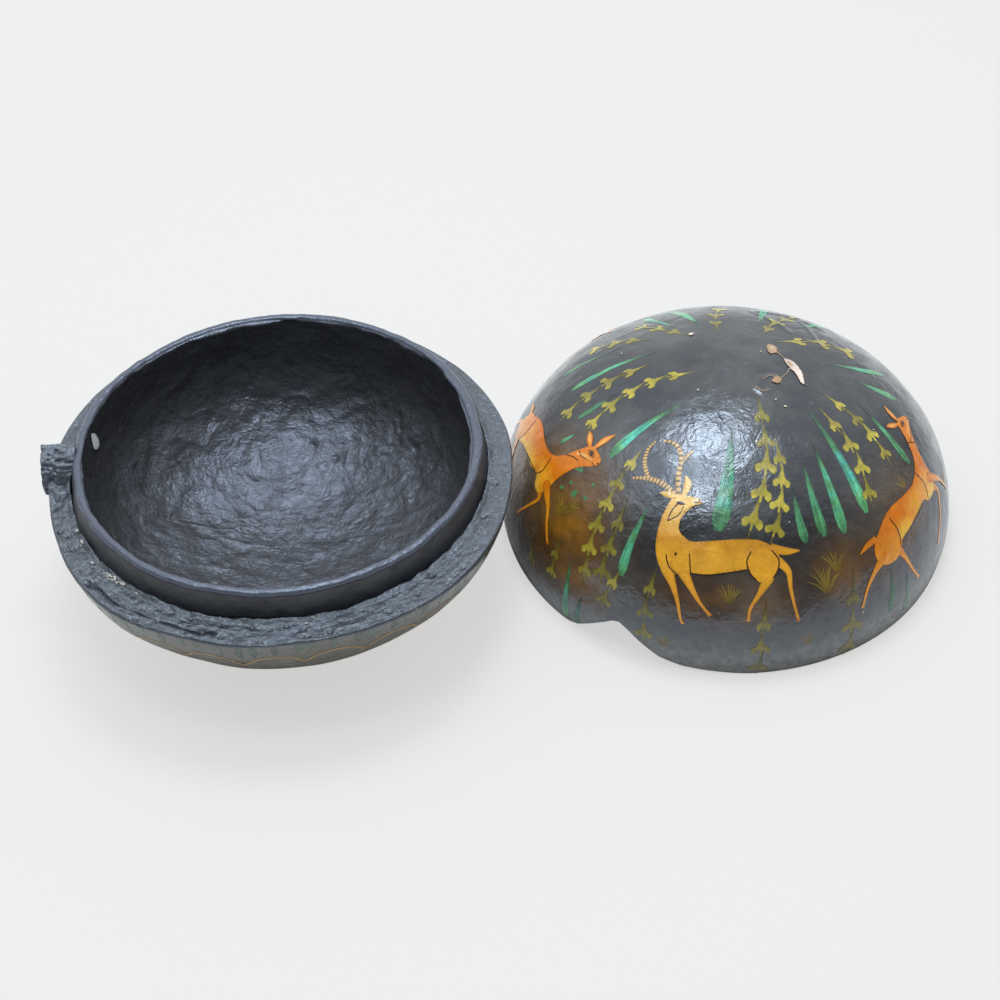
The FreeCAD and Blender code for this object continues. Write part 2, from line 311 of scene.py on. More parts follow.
def dustGroup():
    # dust specks and a cloudy bloom
    group, given, out = newGroup("dust", [("Speck Scale", "NodeSocketFloat"),
                                          ("Speck Size", "NodeSocketFloat")],
                                 [("Specks", "NodeSocketFloat"), ("Bloom", "NodeSocketFloat")])
    place = objectPlace(group)
    cells = put(group, "ShaderNodeTexVoronoi", {"Vector": place, "Scale": given.outputs["Speck Scale"]})
    chance = put(group, "ShaderNodeSeparateColor", {0: cells.outputs["Color"]}).outputs[0]
    dots = fade(group, cells.outputs["Distance"], given.outputs["Speck Size"], 0.0)
    rare = fade(group, chance, 0.78, 0.86)
    group.links.new(times(group, dots, rare), out.inputs["Specks"])
    group.links.new(fade(group, noise(group, place, 38.0, 6.0, 0.65, 0.4), 0.38, 0.72), out.inputs["Bloom"])
    return group


paperLumps = paperLumpsGroup()
dust = dustGroup()


# Finishes

def maskOf(tree, name):
    return put(tree, "ShaderNodeAttribute", attribute_name=name).outputs["Fac"]


def paintOf(tree):
    return put(tree, "ShaderNodeAttribute", attribute_name="paint").outputs["Color"]


def dustOf(tree, look):
    # specks and bloom
    node = useGroup(tree, dust, {"Speck Scale": look["speckScale"], "Speck Size": look["speckSize"]})
    return node.outputs["Specks"], node.outputs["Bloom"]


def bumpFrom(tree, shader, height, look):
    inputs = {"Height": height, "Strength": look["bump"], "Distance": look["bumpDepth"]}
    setInputs(tree, shader, {"Normal": put(tree, "ShaderNodeBump", inputs).outputs["Normal"]})


def setShine(tree, shader, look, rough):
    setInputs(tree, shader, {"Specular IOR Level": look["shine"], "Specular Tint": look["sheen"],
                             "Roughness": rough})


varnishLook = {
    "dentSize": 95.0,  # about how many dents in a metre
    "bump": 0.5,
    "bumpDepth": 0.001,
    "gloss": (0.12, 0.36),  # least and most roughness
    "shine": 1.0,
    "sheen": (0.79, 0.87, 1.0, 1.0),
}


def varnish(tree, shader):
    # the same glossy coat, with its dents, lies over black ground and painting
    patches = noise(tree, objectPlace(tree), 90.0, 5.0, 0.7)
    setShine(tree, shader, varnishLook, fade(tree, patches, 0.3, 0.75, *varnishLook["gloss"]))
    dented = useGroup(tree, paperLumps, {"Dent Size": varnishLook["dentSize"]})
    bumpFrom(tree, shader, dented.outputs["Height"], varnishLook)


lacquerLook = {
    "colours": palette({"brown": (142, 95, 22), "haze": (122, 120, 110)}),
    "speckScale": 260.0,
    "speckSize": 0.18,
    "speckStrength": 0.5,
    "rubbedAndSheen": (0.22, 0.72),  # least and most pale haze on the lower rim: rubbed wear and a painted reflection of the floor
}


def lacquerFinish(name, black, bloomStrength):
    look = lacquerLook["colours"]
    material, tree, shader = newMaterial(name)
    place = objectPlace(tree)
    specks, bloom = dustOf(tree, lacquerLook)
    cloud = noise(tree, place, 55.0, 6.0, 0.6, 0.5)
    tinted = times(tree, maskOf(tree, "ground"), fade(tree, cloud, 0.25, 0.7, 0.25, 1.0))
    colour = mixColour(tree, tinted, fromScreen(*black), look["brown"])
    # pale haze on the lower rim: rubbed wear and a painted reflection of the floor
    patchy = fade(tree, noise(tree, place, 240.0, 5.0, 0.7), 0.3, 0.7, *lacquerLook["rubbedAndSheen"])
    rubbedAndSheen = times(tree, maskOf(tree, "rubAndSheen"), patchy)
    hazy = maths(tree, "MAXIMUM", rubbedAndSheen, times(tree, bloom, bloomStrength))
    colour = mixColour(tree, hazy, colour, look["haze"])
    colour = mixColour(tree, times(tree, specks, lacquerLook["speckStrength"]), colour, look["haze"])
    setInputs(tree, shader, {"Base Color": colour})
    varnish(tree, shader)
    return material


paintLook = {"ground": (26, 21, 12), "shine": 0.62}


def paintFinish(name, thinnest):
    # painted decoration: thin colour with the black ground showing through here and there
    material, tree, shader = newMaterial(name)
    place = objectPlace(tree)
    streaks = fade(tree, noise(tree, place, 700.0, 4.0, 0.65, 0.8), 0.25, 0.62, thinnest, 1.0)
    blots = fade(tree, noise(tree, place, 160.0, 4.0, 0.6), 0.3, 0.65, thinnest, 1.0)
    colour = mixColour(tree, times(tree, streaks, blots), fromScreen(*paintLook["ground"]), paintOf(tree))
    varnish(tree, shader)
    setInputs(tree, shader, {"Base Color": colour, "Specular IOR Level": paintLook["shine"]})
    return material


paperLook = {"shadow": (120, 92, 74), "rough": 0.88, "bump": 0.5, "bumpDepth": 0.0004}


def barePaperFinish():
    # paper that shows where lacquer has chipped off
    material, tree, shader = newMaterial("barePaper")
    place = objectPlace(tree)
    fibres = fade(tree, noise(tree, place, 900.0, 5.0, 0.7), 0.3, 0.7, 0.85, 1.0)
    colour = mixColour(tree, fibres, fromScreen(*paperLook["shadow"]), paintOf(tree))
    setInputs(tree, shader, {"Base Color": colour, "Roughness": paperLook["rough"]})
    bumpFrom(tree, shader, noise(tree, place, 1100.0, 4.0, 0.7), paperLook)
    return material


liningLook = {
    # foot is painted shade where the collar meets the ledge; lip is a painted sheen on the lip's top
    "colours": palette({"black": (52, 52, 53), "grey": (70, 72, 80), "collar": (58, 54, 46),
                        "foot": (16, 15, 14), "lip": (72, 76, 87), "worn": (170, 156, 132)}),
    "speckScale": 330.0,
    "speckSize": 0.14,
    "speckStrength": 0.35,
    "bloom": (0.05, 0.38),
    "strokes": (1.0, 3.2, 2.2),  # brush marks lie closer where this is larger
    "dentSize": 200.0,
    "bump": 0.62,
    "bumpDepth": 0.0012,
    "gloss": (0.16, 0.36),
    "varnishRough": 0.05,
    "collarRough": 0.6,
    "bareRough": 0.9,
    "shine": 0.8,
    "sheen": (0.70, 0.79, 1.0, 1.0),
}


def liningFinish():
    look = liningLook["colours"]
    material, tree, shader = newMaterial("brushedBlackLining")
    place = objectPlace(tree)
    specks, bloom = dustOf(tree, liningLook)
    lip, collar = maskOf(tree, "lip"), maskOf(tree, "collar")
    outside = fade(tree, collar, 0.05, 0.4)
    strokes = put(tree, "ShaderNodeMapping", {"Vector": place, "Scale": liningLook["strokes"]}).outputs[0]
    brushed = noise(tree, strokes, 190.0, 5.0, 0.62, 1.2)
    cloud = times(tree, bloom, fade(tree, brushed, 0.35, 0.7, *liningLook["bloom"]))
    colour = mixColour(tree, cloud, look["black"], look["grey"])
    colour = mixColour(tree, times(tree, specks, liningLook["speckStrength"]), colour, look["worn"])
    # the collar's outside is brown, darkening to near black towards its foot: painted shade in the groove
    # against the ledge
    stainedAndShaded = mixColour(tree, fade(tree, collar, 0.5, 0.9), look["collar"], look["foot"])
    colour = mixColour(tree, times(tree, outside, 0.9), colour, stainedAndShaded)
    # the lip is painted a lighter bluish grey, a painted sheen where its top catches the light
    colour = mixColour(tree, times(tree, lip, 0.8), colour, look["lip"])
    ragged = maths(tree, "ADD", maskOf(tree, "worn"), times(tree, noise(tree, place, 520.0, 3.0), 0.5))
    bare = fade(tree, ragged, 0.70, 0.84)
    setInputs(tree, shader, {"Base Color": mixColour(tree, bare, colour, look["worn"])})
    rough = fade(tree, noise(tree, place, 150.0, 5.0, 0.7), 0.35, 0.65, *liningLook["gloss"])
    rough = mixFloat(tree, times(tree, maskOf(tree, "glossy"), 0.85), rough, liningLook["varnishRough"])
    rough = mixFloat(tree, times(tree, outside, 0.7), rough, liningLook["collarRough"])
    setShine(tree, shader, liningLook, mixFloat(tree, bare, rough, liningLook["bareRough"]))
    height = useGroup(tree, paperLumps, {"Dent Size": liningLook["dentSize"]}).outputs["Height"]
    height = maths(tree, "ADD", height, times(tree, brushed, 0.3))
    height = maths(tree, "ADD", height, times(tree, noise(tree, place, 460.0, 4.0, 0.6), 0.22))
    smooth = maths(tree, "MAXIMUM", times(tree, lip, 0.45), times(tree, outside, 0.55))
    height = times(tree, height, maths(tree, "SUBTRACT", 1.0, smooth))
    bumpFrom(tree, shader, height, liningLook)
    return material


pulpLook = {
    "colours": palette({"black": (32, 34, 39), "dusty": (84, 89, 102), "fleck": (196, 194, 188)}),
    "speckScale": 420.0,
    "speckSize": 0.2,
    "speckStrength": 0.45,
    "bloomStrength": 0.4,
    "bump": 0.42,
    "bumpDepth": 0.0011,
    "gloss": (0.2, 0.42),
    "shine": 0.88,
    "sheen": (0.78, 0.88, 1.0, 1.0),
    "bending": 1.6,  # how strongly the wet-looking coat bends light
}


def pulpFinish():
    look = pulpLook["colours"]
    material, tree, shader = newMaterial("roughBlackPulp")
    place = objectPlace(tree)
    specks, bloom = dustOf(tree, pulpLook)
    colour = mixColour(tree, times(tree, bloom, pulpLook["bloomStrength"]), look["black"], look["dusty"])
    colour = mixColour(tree, times(tree, specks, pulpLook["speckStrength"]), colour, look["fleck"])
    setInputs(tree, shader, {"Base Color": colour, "IOR": pulpLook["bending"]})
    patches = noise(tree, place, 300.0, 4.0, 0.7)
    setShine(tree, shader, pulpLook, fade(tree, patches, 0.3, 0.7, *pulpLook["gloss"]))
    bumpFrom(tree, shader, noise(tree, place, 620.0, 6.0, 0.7, 0.5), pulpLook)
    return material


lacquer = lacquerFinish("blackLacquer", (20, 19, 18), 0.2)
# the base's outside is a pale olive grey: dull dusty lacquer, lightened as a painted reflection of the floor
# on its wall
dullLacquerWithFloorSheen = lacquerFinish("dullLacquerWithFloorSheen", (80, 75, 62), 0.35)
paint = paintFinish("varnishedPaint", 0.84)
thinPaint = paintFinish("thinVarnishedPaint", 0.64)
barePaper = barePaperFinish()
lining = liningFinish()
pulp = pulpFinish()
print("finishes made")


# Lid

lidLow, lidHigh = nodeBox("lid_shell")
lidCentre = np.array([*(lidLow + lidHigh)[:2] / 2, 0])
lidShape = {
    "belly": 8.1,  # widest level
    "skirt": 46.0,  # bow of the wall below the belly
    "wall": 4.5,
    "glue": 0.1,
    "lining": 2.5,
    "columns": 600,
    "rows": 110,
    "lumps": [(75, 0.45), (24, 0.22), (9, 0.1), (4.5, 0.045)],
    "notchBearing": 238.3,
    # degrees from the notch's top, height of the rim there
    "notch": [(-17, 0), (-15, 0.5), (-12, 2.6), (-6, 10), (-1.8, 14.8), (0, 15.5), (2.4, 13.6), (6.5, 9.3),
              (11, 4.7), (16.4, 2.1), (21, 1.4), (26, 0.8), (32, 0)],
    # earth under the animals: bearing, climb, half width in degrees, half height, strength
    "earth": [(213, 40, 15, 22, 1.0), (198, 50, 12, 14, 0.7), (222, 24, 9, 8, 1.0), (268, 34, 20, 9, 0.5),
              (300, 38, 16, 12, 0.55), (322, 44, 14, 16, 0.45), (182, 30, 14, 14, 0.7),
              (60, 36, 22, 14, 0.6), (112, 38, 18, 14, 0.8), (20, 34, 14, 12, 0.5), (147, 40, 10, 10, 0.5)],
    # folds in the paper, as bearings and climbs
    "folds": [[(77, 74), (64, 83), (51, 88)], [(60, 66), (47, 78), (33, 85)],
              [(74, 73), (61, 68), (47, 68)],
              [(311, 118), (313, 114.5), (327, 113), (351, 113), (355, 115.6), (336, 118.2), (311, 118)]],
    "rubAndSheen": (26, 6),  # climbs between which the rim gets its rubbed haze and painted floor reflection
    # bearing where the rubbed haze and painted floor reflection are strongest
    "rubAndSheenMost": 290.0,
    "foldHeight": 0.42,
    "foldWidth": 1.15,
}
lidWide = (lidHigh[0] - lidLow[0]) / 2
lidTall = lidHigh[2]


def domeProfile(inset):
    # climb from the rim, radius, height and outward direction along the dome's section
    belly = lidShape["belly"]
    skirtCentre = lidWide - lidShape["skirt"]
    bow = lidShape["skirt"] - inset
    low = np.linspace(-math.asin(belly / bow), 0, 40)
    high = np.linspace(0, math.pi / 2, 500)[1:]
    wide, tall = lidWide - inset, lidTall - belly - inset
    radius = np.concatenate([skirtCentre + bow * np.cos(low), wide * np.cos(high)])
    height = np.concatenate([belly + bow * np.sin(low), belly + tall * np.sin(high)])
    outR = np.concatenate([np.cos(low), np.cos(high) / wide])
    outZ = np.concatenate([np.sin(low), np.sin(high) / tall])
    size = np.hypot(outR, outZ)
    climb = np.concatenate([[0], np.cumsum(np.hypot(np.diff(radius), np.diff(height)))])
    return climb, radius, height, outR / size, outZ / size


outerDome = domeProfile(0)
domeRise = np.arctan2(outerDome[2], outerDome[1])


def domeSection(profile, bearing, climb):
    # points and outward directions of the even dome
    radius, height, outR, outZ = (np.interp(climb, profile[0], row) for row in profile[1:])
    return lidCentre + aroundAxis(radius, bearing, height), aroundAxis(outR, bearing, outZ)


def foldLine(line):
    crown = outerDome[0][-1]
    curve = splineThrough([polarPoint(bearing, crown - climb)[:2] for bearing, climb in line], 2.0)
    return domeSection(outerDome, np.arctan2(curve[:, 1], curve[:, 0]), crown - np.hypot(*curve.T))[0]


foldLines = [foldLine(line) for line in lidShape["folds"]]


def foldRise(points):
    # folds stand up as ridges with a shallow trough on both sides
    near = points.reshape(-1, 3)
    rise = np.zeros(len(near))
    for line in foldLines:
        gap = lineGap(near, line) / lidShape["foldWidth"]
        rise = np.maximum(rise, np.exp(-gap ** 2)) - 0.3 * np.exp(-(gap - 2) ** 2)
    return lidShape["foldHeight"] * rise.reshape(points.shape[:-1])


def domePoints(profile, bearing, climb, lift=0, rough=lidShape["lumps"], folded=True):
    # points of the hand-made dome, pushed out by its lumps and by lift
    points, out = domeSection(profile, bearing, climb)
    push = lumps(points, rough, 11) * smoothStep(points[..., 2], 0, 6) + lift
    if folded:
        push = push + foldRise(points)
    points = points + out * push[..., None]
    points[..., 2] = np.maximum(points[..., 2], 0)
    return points


def domePlace(points):
    # bearing and climb of points on or near the dome
    flat = np.asarray(points) - lidCentre
    rise = np.arctan2(flat[..., 2], np.hypot(flat[..., 0], flat[..., 1]))
    return np.arctan2(flat[..., 1], flat[..., 0]), np.interp(rise, domeRise, outerDome[0])


def notchHeight(bearing):
    turn = turnFrom(lidShape["notchBearing"], np.degrees(bearing))
    where, height = np.array(lidShape["notch"]).T
    return np.interp(turn, where, height, left=0, right=0)


def domeLayer(name, outset, inset, rows, rough):
    # a dome with thickness, from the outer crown over the rim to the inner crown
    bearing = roundBearings(lidShape["columns"])
    rim = notchHeight(bearing)
    sides = []
    for depth, count in ((outset, rows), (inset, rows // 3)):
        profile = domeProfile(depth)
        start = np.interp(rim, profile[2], profile[0])
        share = np.linspace(0, 1, count)[:, None]
        climb = start + (profile[0][-1] - start) * share
        sides.append(domePoints(profile, np.broadcast_to(bearing, climb.shape), climb, 0, rough, depth == 0))
    outside, inside = sides
    edge = outside[0] * 0.85 + inside[0] * 0.15
    outside[0, :, 2] += 0.35 * (outside[1, :, 2] > outside[0, :, 2])
    return turnedPiece(name, np.concatenate([outside[::-1], edge[None], inside]))


def earthMask(points):
    bearing, climb = domePlace(points)
    mask = np.zeros(len(points))
    for middle, level, wide, tall, strength in lidShape["earth"]:
        turn = turnFrom(middle, np.degrees(bearing))
        mask = np.maximum(mask, strength * np.exp(-(turn / wide) ** 2 - ((climb - level) / tall) ** 2))
    return mask


lidShell = domeLayer("lid_shell_lacquered", 0, lidShape["wall"], lidShape["rows"], lidShape["lumps"])
setMask(lidShell, "ground", earthMask(vertexPlaces(lidShell)))
# the lower rim is hazed pale, most towards one bearing: rubbed wear and a painted reflection of the floor
turn, climb = domePlace(vertexPlaces(lidShell))
facing = smoothStep(np.cos(turn - math.radians(lidShape["rubAndSheenMost"])), -0.1, 0.6)
setMask(lidShell, "rubAndSheen", smoothStep(climb, *lidShape["rubAndSheen"]) * (0.2 + 0.8 * facing))
finishPiece(lidShell, "lid", "lacquer", lacquer, "lid_shell")
liningOutset = lidShape["wall"] + lidShape["glue"]
lidLining = domeLayer("lid_lining_brushed", liningOutset, liningOutset + lidShape["lining"], 60, [(30, 0.15)])
finishPiece(lidLining, "lid", "lining", lining, "lid_lining")
print("lid made:", len(lidShell.data.vertices), "points")


# Painting tools: flat drawings in mm, x to the right and y up, laid over a curved side

coats = {"lift": 0.04, "each": 0.035, "swell": 0.04}


def newSheet(onto):
    # onto(flat, place, lift) gives the points of the curved side
    return {"onto": onto, "points": [], "faces": [], "colours": []}


def onDome(flat, place, lift):
    # place is a bearing and a climb, how far the drawing leans and its size
    bearing, climb, lean, size = place
    radius, height, outR, outZ = (np.interp(climb, outerDome[0], row) for row in outerDome[1:])
    turn, tilt = math.radians(bearing), math.radians(lean)
    out = aroundAxis(outR, turn, outZ)
    east = np.array([-math.sin(turn), math.cos(turn), 0])
    north = np.cross(out, east)
    x = size * (flat[:, 0] * math.cos(tilt) - flat[:, 1] * math.sin(tilt))
    y = size * (flat[:, 0] * math.sin(tilt) + flat[:, 1] * math.cos(tilt))
    middle = lidCentre + aroundAxis(radius, turn, height)
    return domePoints(outerDome, *domePlace(middle + x[:, None] * east + y[:, None] * north), lift)


def insideOutline(points, outline):
    ends = np.roll(outline, -1, axis=0)
    x, y = points[:, :1], points[:, 1:]
    crossed = (outline[:, 1] > y) != (ends[:, 1] > y)
    rise = ends[:, 1] - outline[:, 1]
    where = outline[:, 0] + (y - outline[:, 1]) * (ends[:, 0] - outline[:, 0]) / np.where(rise == 0, 1, rise)
    return (crossed & (x < where)).sum(axis=1) % 2 == 1


def fillOutline(outline, spacing):
    # points, triangles and distance from the edge, for a closed outline
    ahead = np.roll(outline, -1, axis=0)
    if (outline[:, 0] * ahead[:, 1] - outline[:, 1] * ahead[:, 0]).sum() < 0:
        outline = outline[::-1]
    way = np.roll(outline, -1, axis=0) - np.roll(outline, 1, axis=0)
    inward = np.stack([-way[:, 1], way[:, 0]], axis=1) / np.maximum(np.linalg.norm(way, axis=1), 1e-6)[:,
                                                                                                       None]
    margin = 0.4
    ring = (outline + inward * margin)[::2]
    across, up = (np.arange(a, b, spacing) for a, b in zip(outline.min(0), outline.max(0)))
    grid = np.stack(np.meshgrid(across, up), axis=-1).reshape(-1, 2)
    extra = np.concatenate([ring, grid])
    least = np.concatenate([np.full(len(ring), margin * 0.85), np.full(len(grid), margin + spacing * 0.4)])
    extra = extra[insideOutline(extra, outline) & (lineGap(extra, outline, True) > least)]
    corners = [Vector(p) for p in np.concatenate([outline, extra])]
    found, _, faces, *_ = delaunay_2d_cdt(corners, [], [list(range(len(outline)))], 1, 1e-4)
    flat = np.array([tuple(p) for p in found])
    return flat, np.array(faces), lineGap(flat, outline, True)


def layPaint(sheet, flat, faces, edge, place, coat, colours):
    lift = coats["lift"] + coats["each"] * coat + coats["swell"] * smoothStep(edge, 0, 0.8)
    start = sum(len(points) for points in sheet["points"])
    sheet["points"].append(sheet["onto"](flat, place, lift))
    sheet["faces"] += (faces + start).tolist()
    sheet["colours"].append(colours)


def drawPatch(sheet, outline, place, coat, colourAt, spacing=1.3, step=0.8, ragged=0.0):
    curve = splineThrough(outline, step, True)
    if ragged:
        spots = np.c_[curve, np.zeros(len(curve))]
        curve = curve + ragged * np.stack([softNoise(spots, 0.8, 3), softNoise(spots, 0.8, 4)], axis=1)
    flat, faces, edge = fillOutline(curve, spacing)
    layPaint(sheet, flat, faces, edge, place, coat, colourAt(flat, edge, np.zeros(len(flat))))


def drawStroke(sheet, line, place, coat, colourAt, columns=3, step=0.6):
    # line gives x, y and width
    line = splineThrough(line, step)
    way = np.gradient(line[:, :2], axis=0)
    way = way / np.maximum(np.linalg.norm(way, axis=1, keepdims=True), 1e-6)
    side = np.stack([-way[:, 1], way[:, 0]], axis=1)
    across = np.linspace(-1, 1, columns)
    half = np.maximum(line[:, 2], 0.08)[:, None] / 2
    flat = line[:, None, :2] + side[:, None] * (across * half)[..., None]
    index = np.arange(flat.shape[0] * columns).reshape(-1, columns)
    faces = np.stack([index[:-1, :-1], index[1:, :-1], index[1:, 1:], index[:-1, 1:]], axis=-1).reshape(-1, 4)
    edge = ((1 - np.abs(across)) * half).ravel()
    along = np.repeat(np.linspace(0, 1, len(line)), columns)
    flat = flat.reshape(-1, 2)
    layPaint(sheet, flat, faces, edge, place, coat, colourAt(flat, edge, along))


def shaded(stops, way=None, seed=1, wander=0.12, dark=0.6, rings=0, streaks=0.0):
    # brushed colour that changes from stop to stop along a stroke or in a direction
    where = np.array([stop[0] for stop in stops], float)
    tints = np.array([fromScreen(*stop[1])[:3] for stop in stops])

    def colourAt(flat, edge, along):
        value = along if way is None else flat @ np.array(way)
        value = value + wander * (where[-1] - where[0]) * softNoise(np.c_[flat, np.zeros(len(flat))], 5.0,
                                                                    seed)
        colour = np.stack([np.interp(value, where, column) for column in tints.T], axis=1)
        colour = colour * (dark + (1 - dark) * smoothStep(edge, 0, 0.35))[:, None]
        if streaks:
            long = np.c_[flat[:, 0] * 6, flat[:, 1] * 0.5, np.zeros(len(flat))]
            colour = colour * (1 + streaks * softNoise(long, 2.5, seed + 1))[:, None]
        if rings:
            colour = colour * (1 - 0.75 * (np.sin(2 * math.pi * rings * along) > 0.35))[:, None]
        return colour

    return colourAt


def plain(*colour):
    return shaded([(0, colour), (1, colour)], dark=1.0)


def paintedPiece(name, sheet, body, slot, material):
    piece = addObject(name, np.concatenate(sheet["points"]), sheet["faces"], closed=False)
    layer = piece.data.color_attributes.new("paint", "FLOAT_COLOR", "POINT")
    colours = np.concatenate(sheet["colours"])
    layer.data.foreach_set("color", np.c_[colours, np.ones(len(colours))].astype(np.float32).ravel())
    print(name, "painted:", len(piece.data.vertices), "points")
    return finishPiece(piece, body, slot, material)


# Animals on the lid

inkLine = plain(48, 26, 8)
antelope = {
    "coat": shaded([(-9, (218, 154, 30)), (2, (218, 157, 38)), (8, (196, 133, 24)), (13, (222, 168, 72)),
                    (25, (234, 190, 104))], (0, 1), 3),
    "haunch": shaded([(-7, (226, 162, 38)), (5, (210, 146, 30))], (0, 1), 4, 0.12, 0.92),
    "legs": shaded([(0, (222, 158, 36)), (0.5, (222, 152, 40)), (0.92, (214, 140, 36)), (1, (150, 88, 24))],
                   None, 5),
    "horns": shaded([(0, (226, 184, 116)), (1, (206, 164, 92))], None, 6, rings=13),
    "body": [(-23, 21.7), (-25.9, 14.7), (-27.3, 7.7), (-27.2, 1.3), (-25.2, -4.4), (-22, -7),
             (-17.1, -5.8), (-13.4, -5.4), (-7, -5.4), (0, -4.2), (7.5, -2.4), (12, -3.4), (17, -3),
             (19.2, 1.7), (17.6, 5.3), (14.9, 7), (10.6, 8.4), (4, 8.4), (-6.3, 7.2), (-13.5, 6.5),
             (-16.9, 8.5), (-18.4, 11), (-18, 14.7), (-16, 17.5), (-13.5, 19.6), (-10.9, 20.5),
             (-11.5, 22.5), (-14.4, 23), (-17.2, 23.6), (-20.7, 24)],
    "thigh": [(7.5, 3.4), (7, 0.4), (8.4, -3.7), (11.2, -6.6), (14.7, -7.3), (17.5, -5.2), (18.9, -2),
              (18.9, 1.7), (16.1, 4.7), (11.8, 5.6)],
    "limbs": [[(19, 0.7, 4), (23, -3, 3.8), (24.6, -9.7, 2.4), (26.9, -16.3, 1.9), (30.4, -24.8, 2.8)],
              [(-16.6, -3.9, 5.5), (-12.6, -11, 3.8), (-9.3, -16.5, 2.2), (-5, -22, 2.8)],
              [(-22.6, -4, 6), (-19.9, -10.3, 4.4), (-17.9, -17, 2.4), (-16.9, -24, 1.8),
               (-15.8, -27.2, 2.8)],
              [(15.5, -5.5, 5), (12.2, -12.3, 3.2), (9.7, -17.6, 2.1), (9.3, -23.6, 2.8)]],
    "tails": [[(15.5, 5.8, 3.2), (21.5, 4.6, 3), (27.2, 4.9, 0.5)],
              [(-18.1, 23.2, 1.8), (-17, 27.9, 3.2), (-18.2, 31.5, 0.5)],
              [(-20.8, 22.7, 1.8), (-24.7, 23.6, 2.6), (-28, 24.1, 0.5)]],
    "cream": shaded([(0, (238, 196, 112)), (1, (232, 184, 92))], None, 15, 0.12, 0.9),
    "pale": [[(-17.6, 25, 0.4), (-17.3, 28, 1.3), (-18, 30.4, 0.3)],
             [(-22.4, 23.3, 0.4), (-24.9, 23.7, 1.1), (-27, 24, 0.3)],
             [(-19, 15.4, 0.5), (-17.6, 18.3, 1.8), (-13.2, 20.5, 1.0)]],
    "horn": [[(-20.3, 23.8, 2), (-21.3, 32, 2.4), (-21, 38, 2.2), (-22.8, 43.8, 2), (-26.3, 47, 1.8),
              (-31, 48.2, 1.2)],
             [(-21, 37, 2), (-18.8, 40.4, 1.8), (-16.4, 43, 1.1)],
             [(-21.4, 23.6, 2), (-27.8, 28, 2.4), (-34.5, 29.9, 2), (-41.7, 30.1, 1.2)],
             [(-34, 29.6, 1.8), (-37.6, 37, 2.2), (-37.6, 43.6, 1.9), (-35, 48, 1.2)]],
    "ink": [[(-23, 0.8, 0.5), (-21.6, -3.5, 0.5), (-18.2, -6.4, 0.4)], [(-14, 2, 0.4), (-13.2, -5.2, 0.5)],
            [(8.4, 4.2, 0.4), (7, 0.4, 0.5), (8.4, -3.7, 0.5), (11.2, -6.6, 0.4)],
            [(16.1, 4.7, 0.4), (18.9, 1.5, 0.5), (18.9, -2, 0.5), (17.2, -5.6, 0.4)],
            [(-13.4, -5.3, 0.4), (-7, -5.3, 0.5), (0, -4.1, 0.5), (7, -2.6, 0.4)],
            [(-20, 20.2, 0.5), (-22.3, 17, 0.5), (-23.4, 13.4, 0.4)],
            [(-17.6, 19.2, 0.4), (-19.2, 16, 0.4), (-23.2, 13.4, 0.4)],
            [(-14, 20.8, 0.4), (-11.2, 21.1, 0.4)], [(-18, 14.7, 0.5), (-18.5, 11, 0.5), (-16.9, 8.4, 0.4)],
            [(-20.6, 20.3, 0.7), (-19, 20.4, 1.4), (-17.2, 20, 0.5)],
            [(-19.6, 1.4, 1.1), (-18.8, 1.3, 1.1)], [(-12.1, 22.1, 0.6), (-11.5, 21.6, 0.7)]],
}
fawn = {
    "coat": shaded([(-13, (224, 122, 8)), (-8, (240, 192, 66)), (-3, (226, 152, 32)), (3, (212, 114, 6)),
                    (10, (214, 118, 6)), (22, (222, 130, 12))], (0, 1), 7),
    "haunch": shaded([(-13, (230, 150, 24)), (-5, (224, 138, 20)), (1, (212, 114, 6))],
                     (0, 1), 7, 0.12, 0.94),
    "legs": shaded([(0, (210, 112, 8)), (0.4, (226, 146, 28)), (0.92, (236, 150, 28)), (1, (160, 82, 14))],
                   None, 8),
    "cream": shaded([(0, (236, 176, 92)), (1, (226, 156, 66))], None, 16, 0.12, 0.9),
    "horn": [],
}
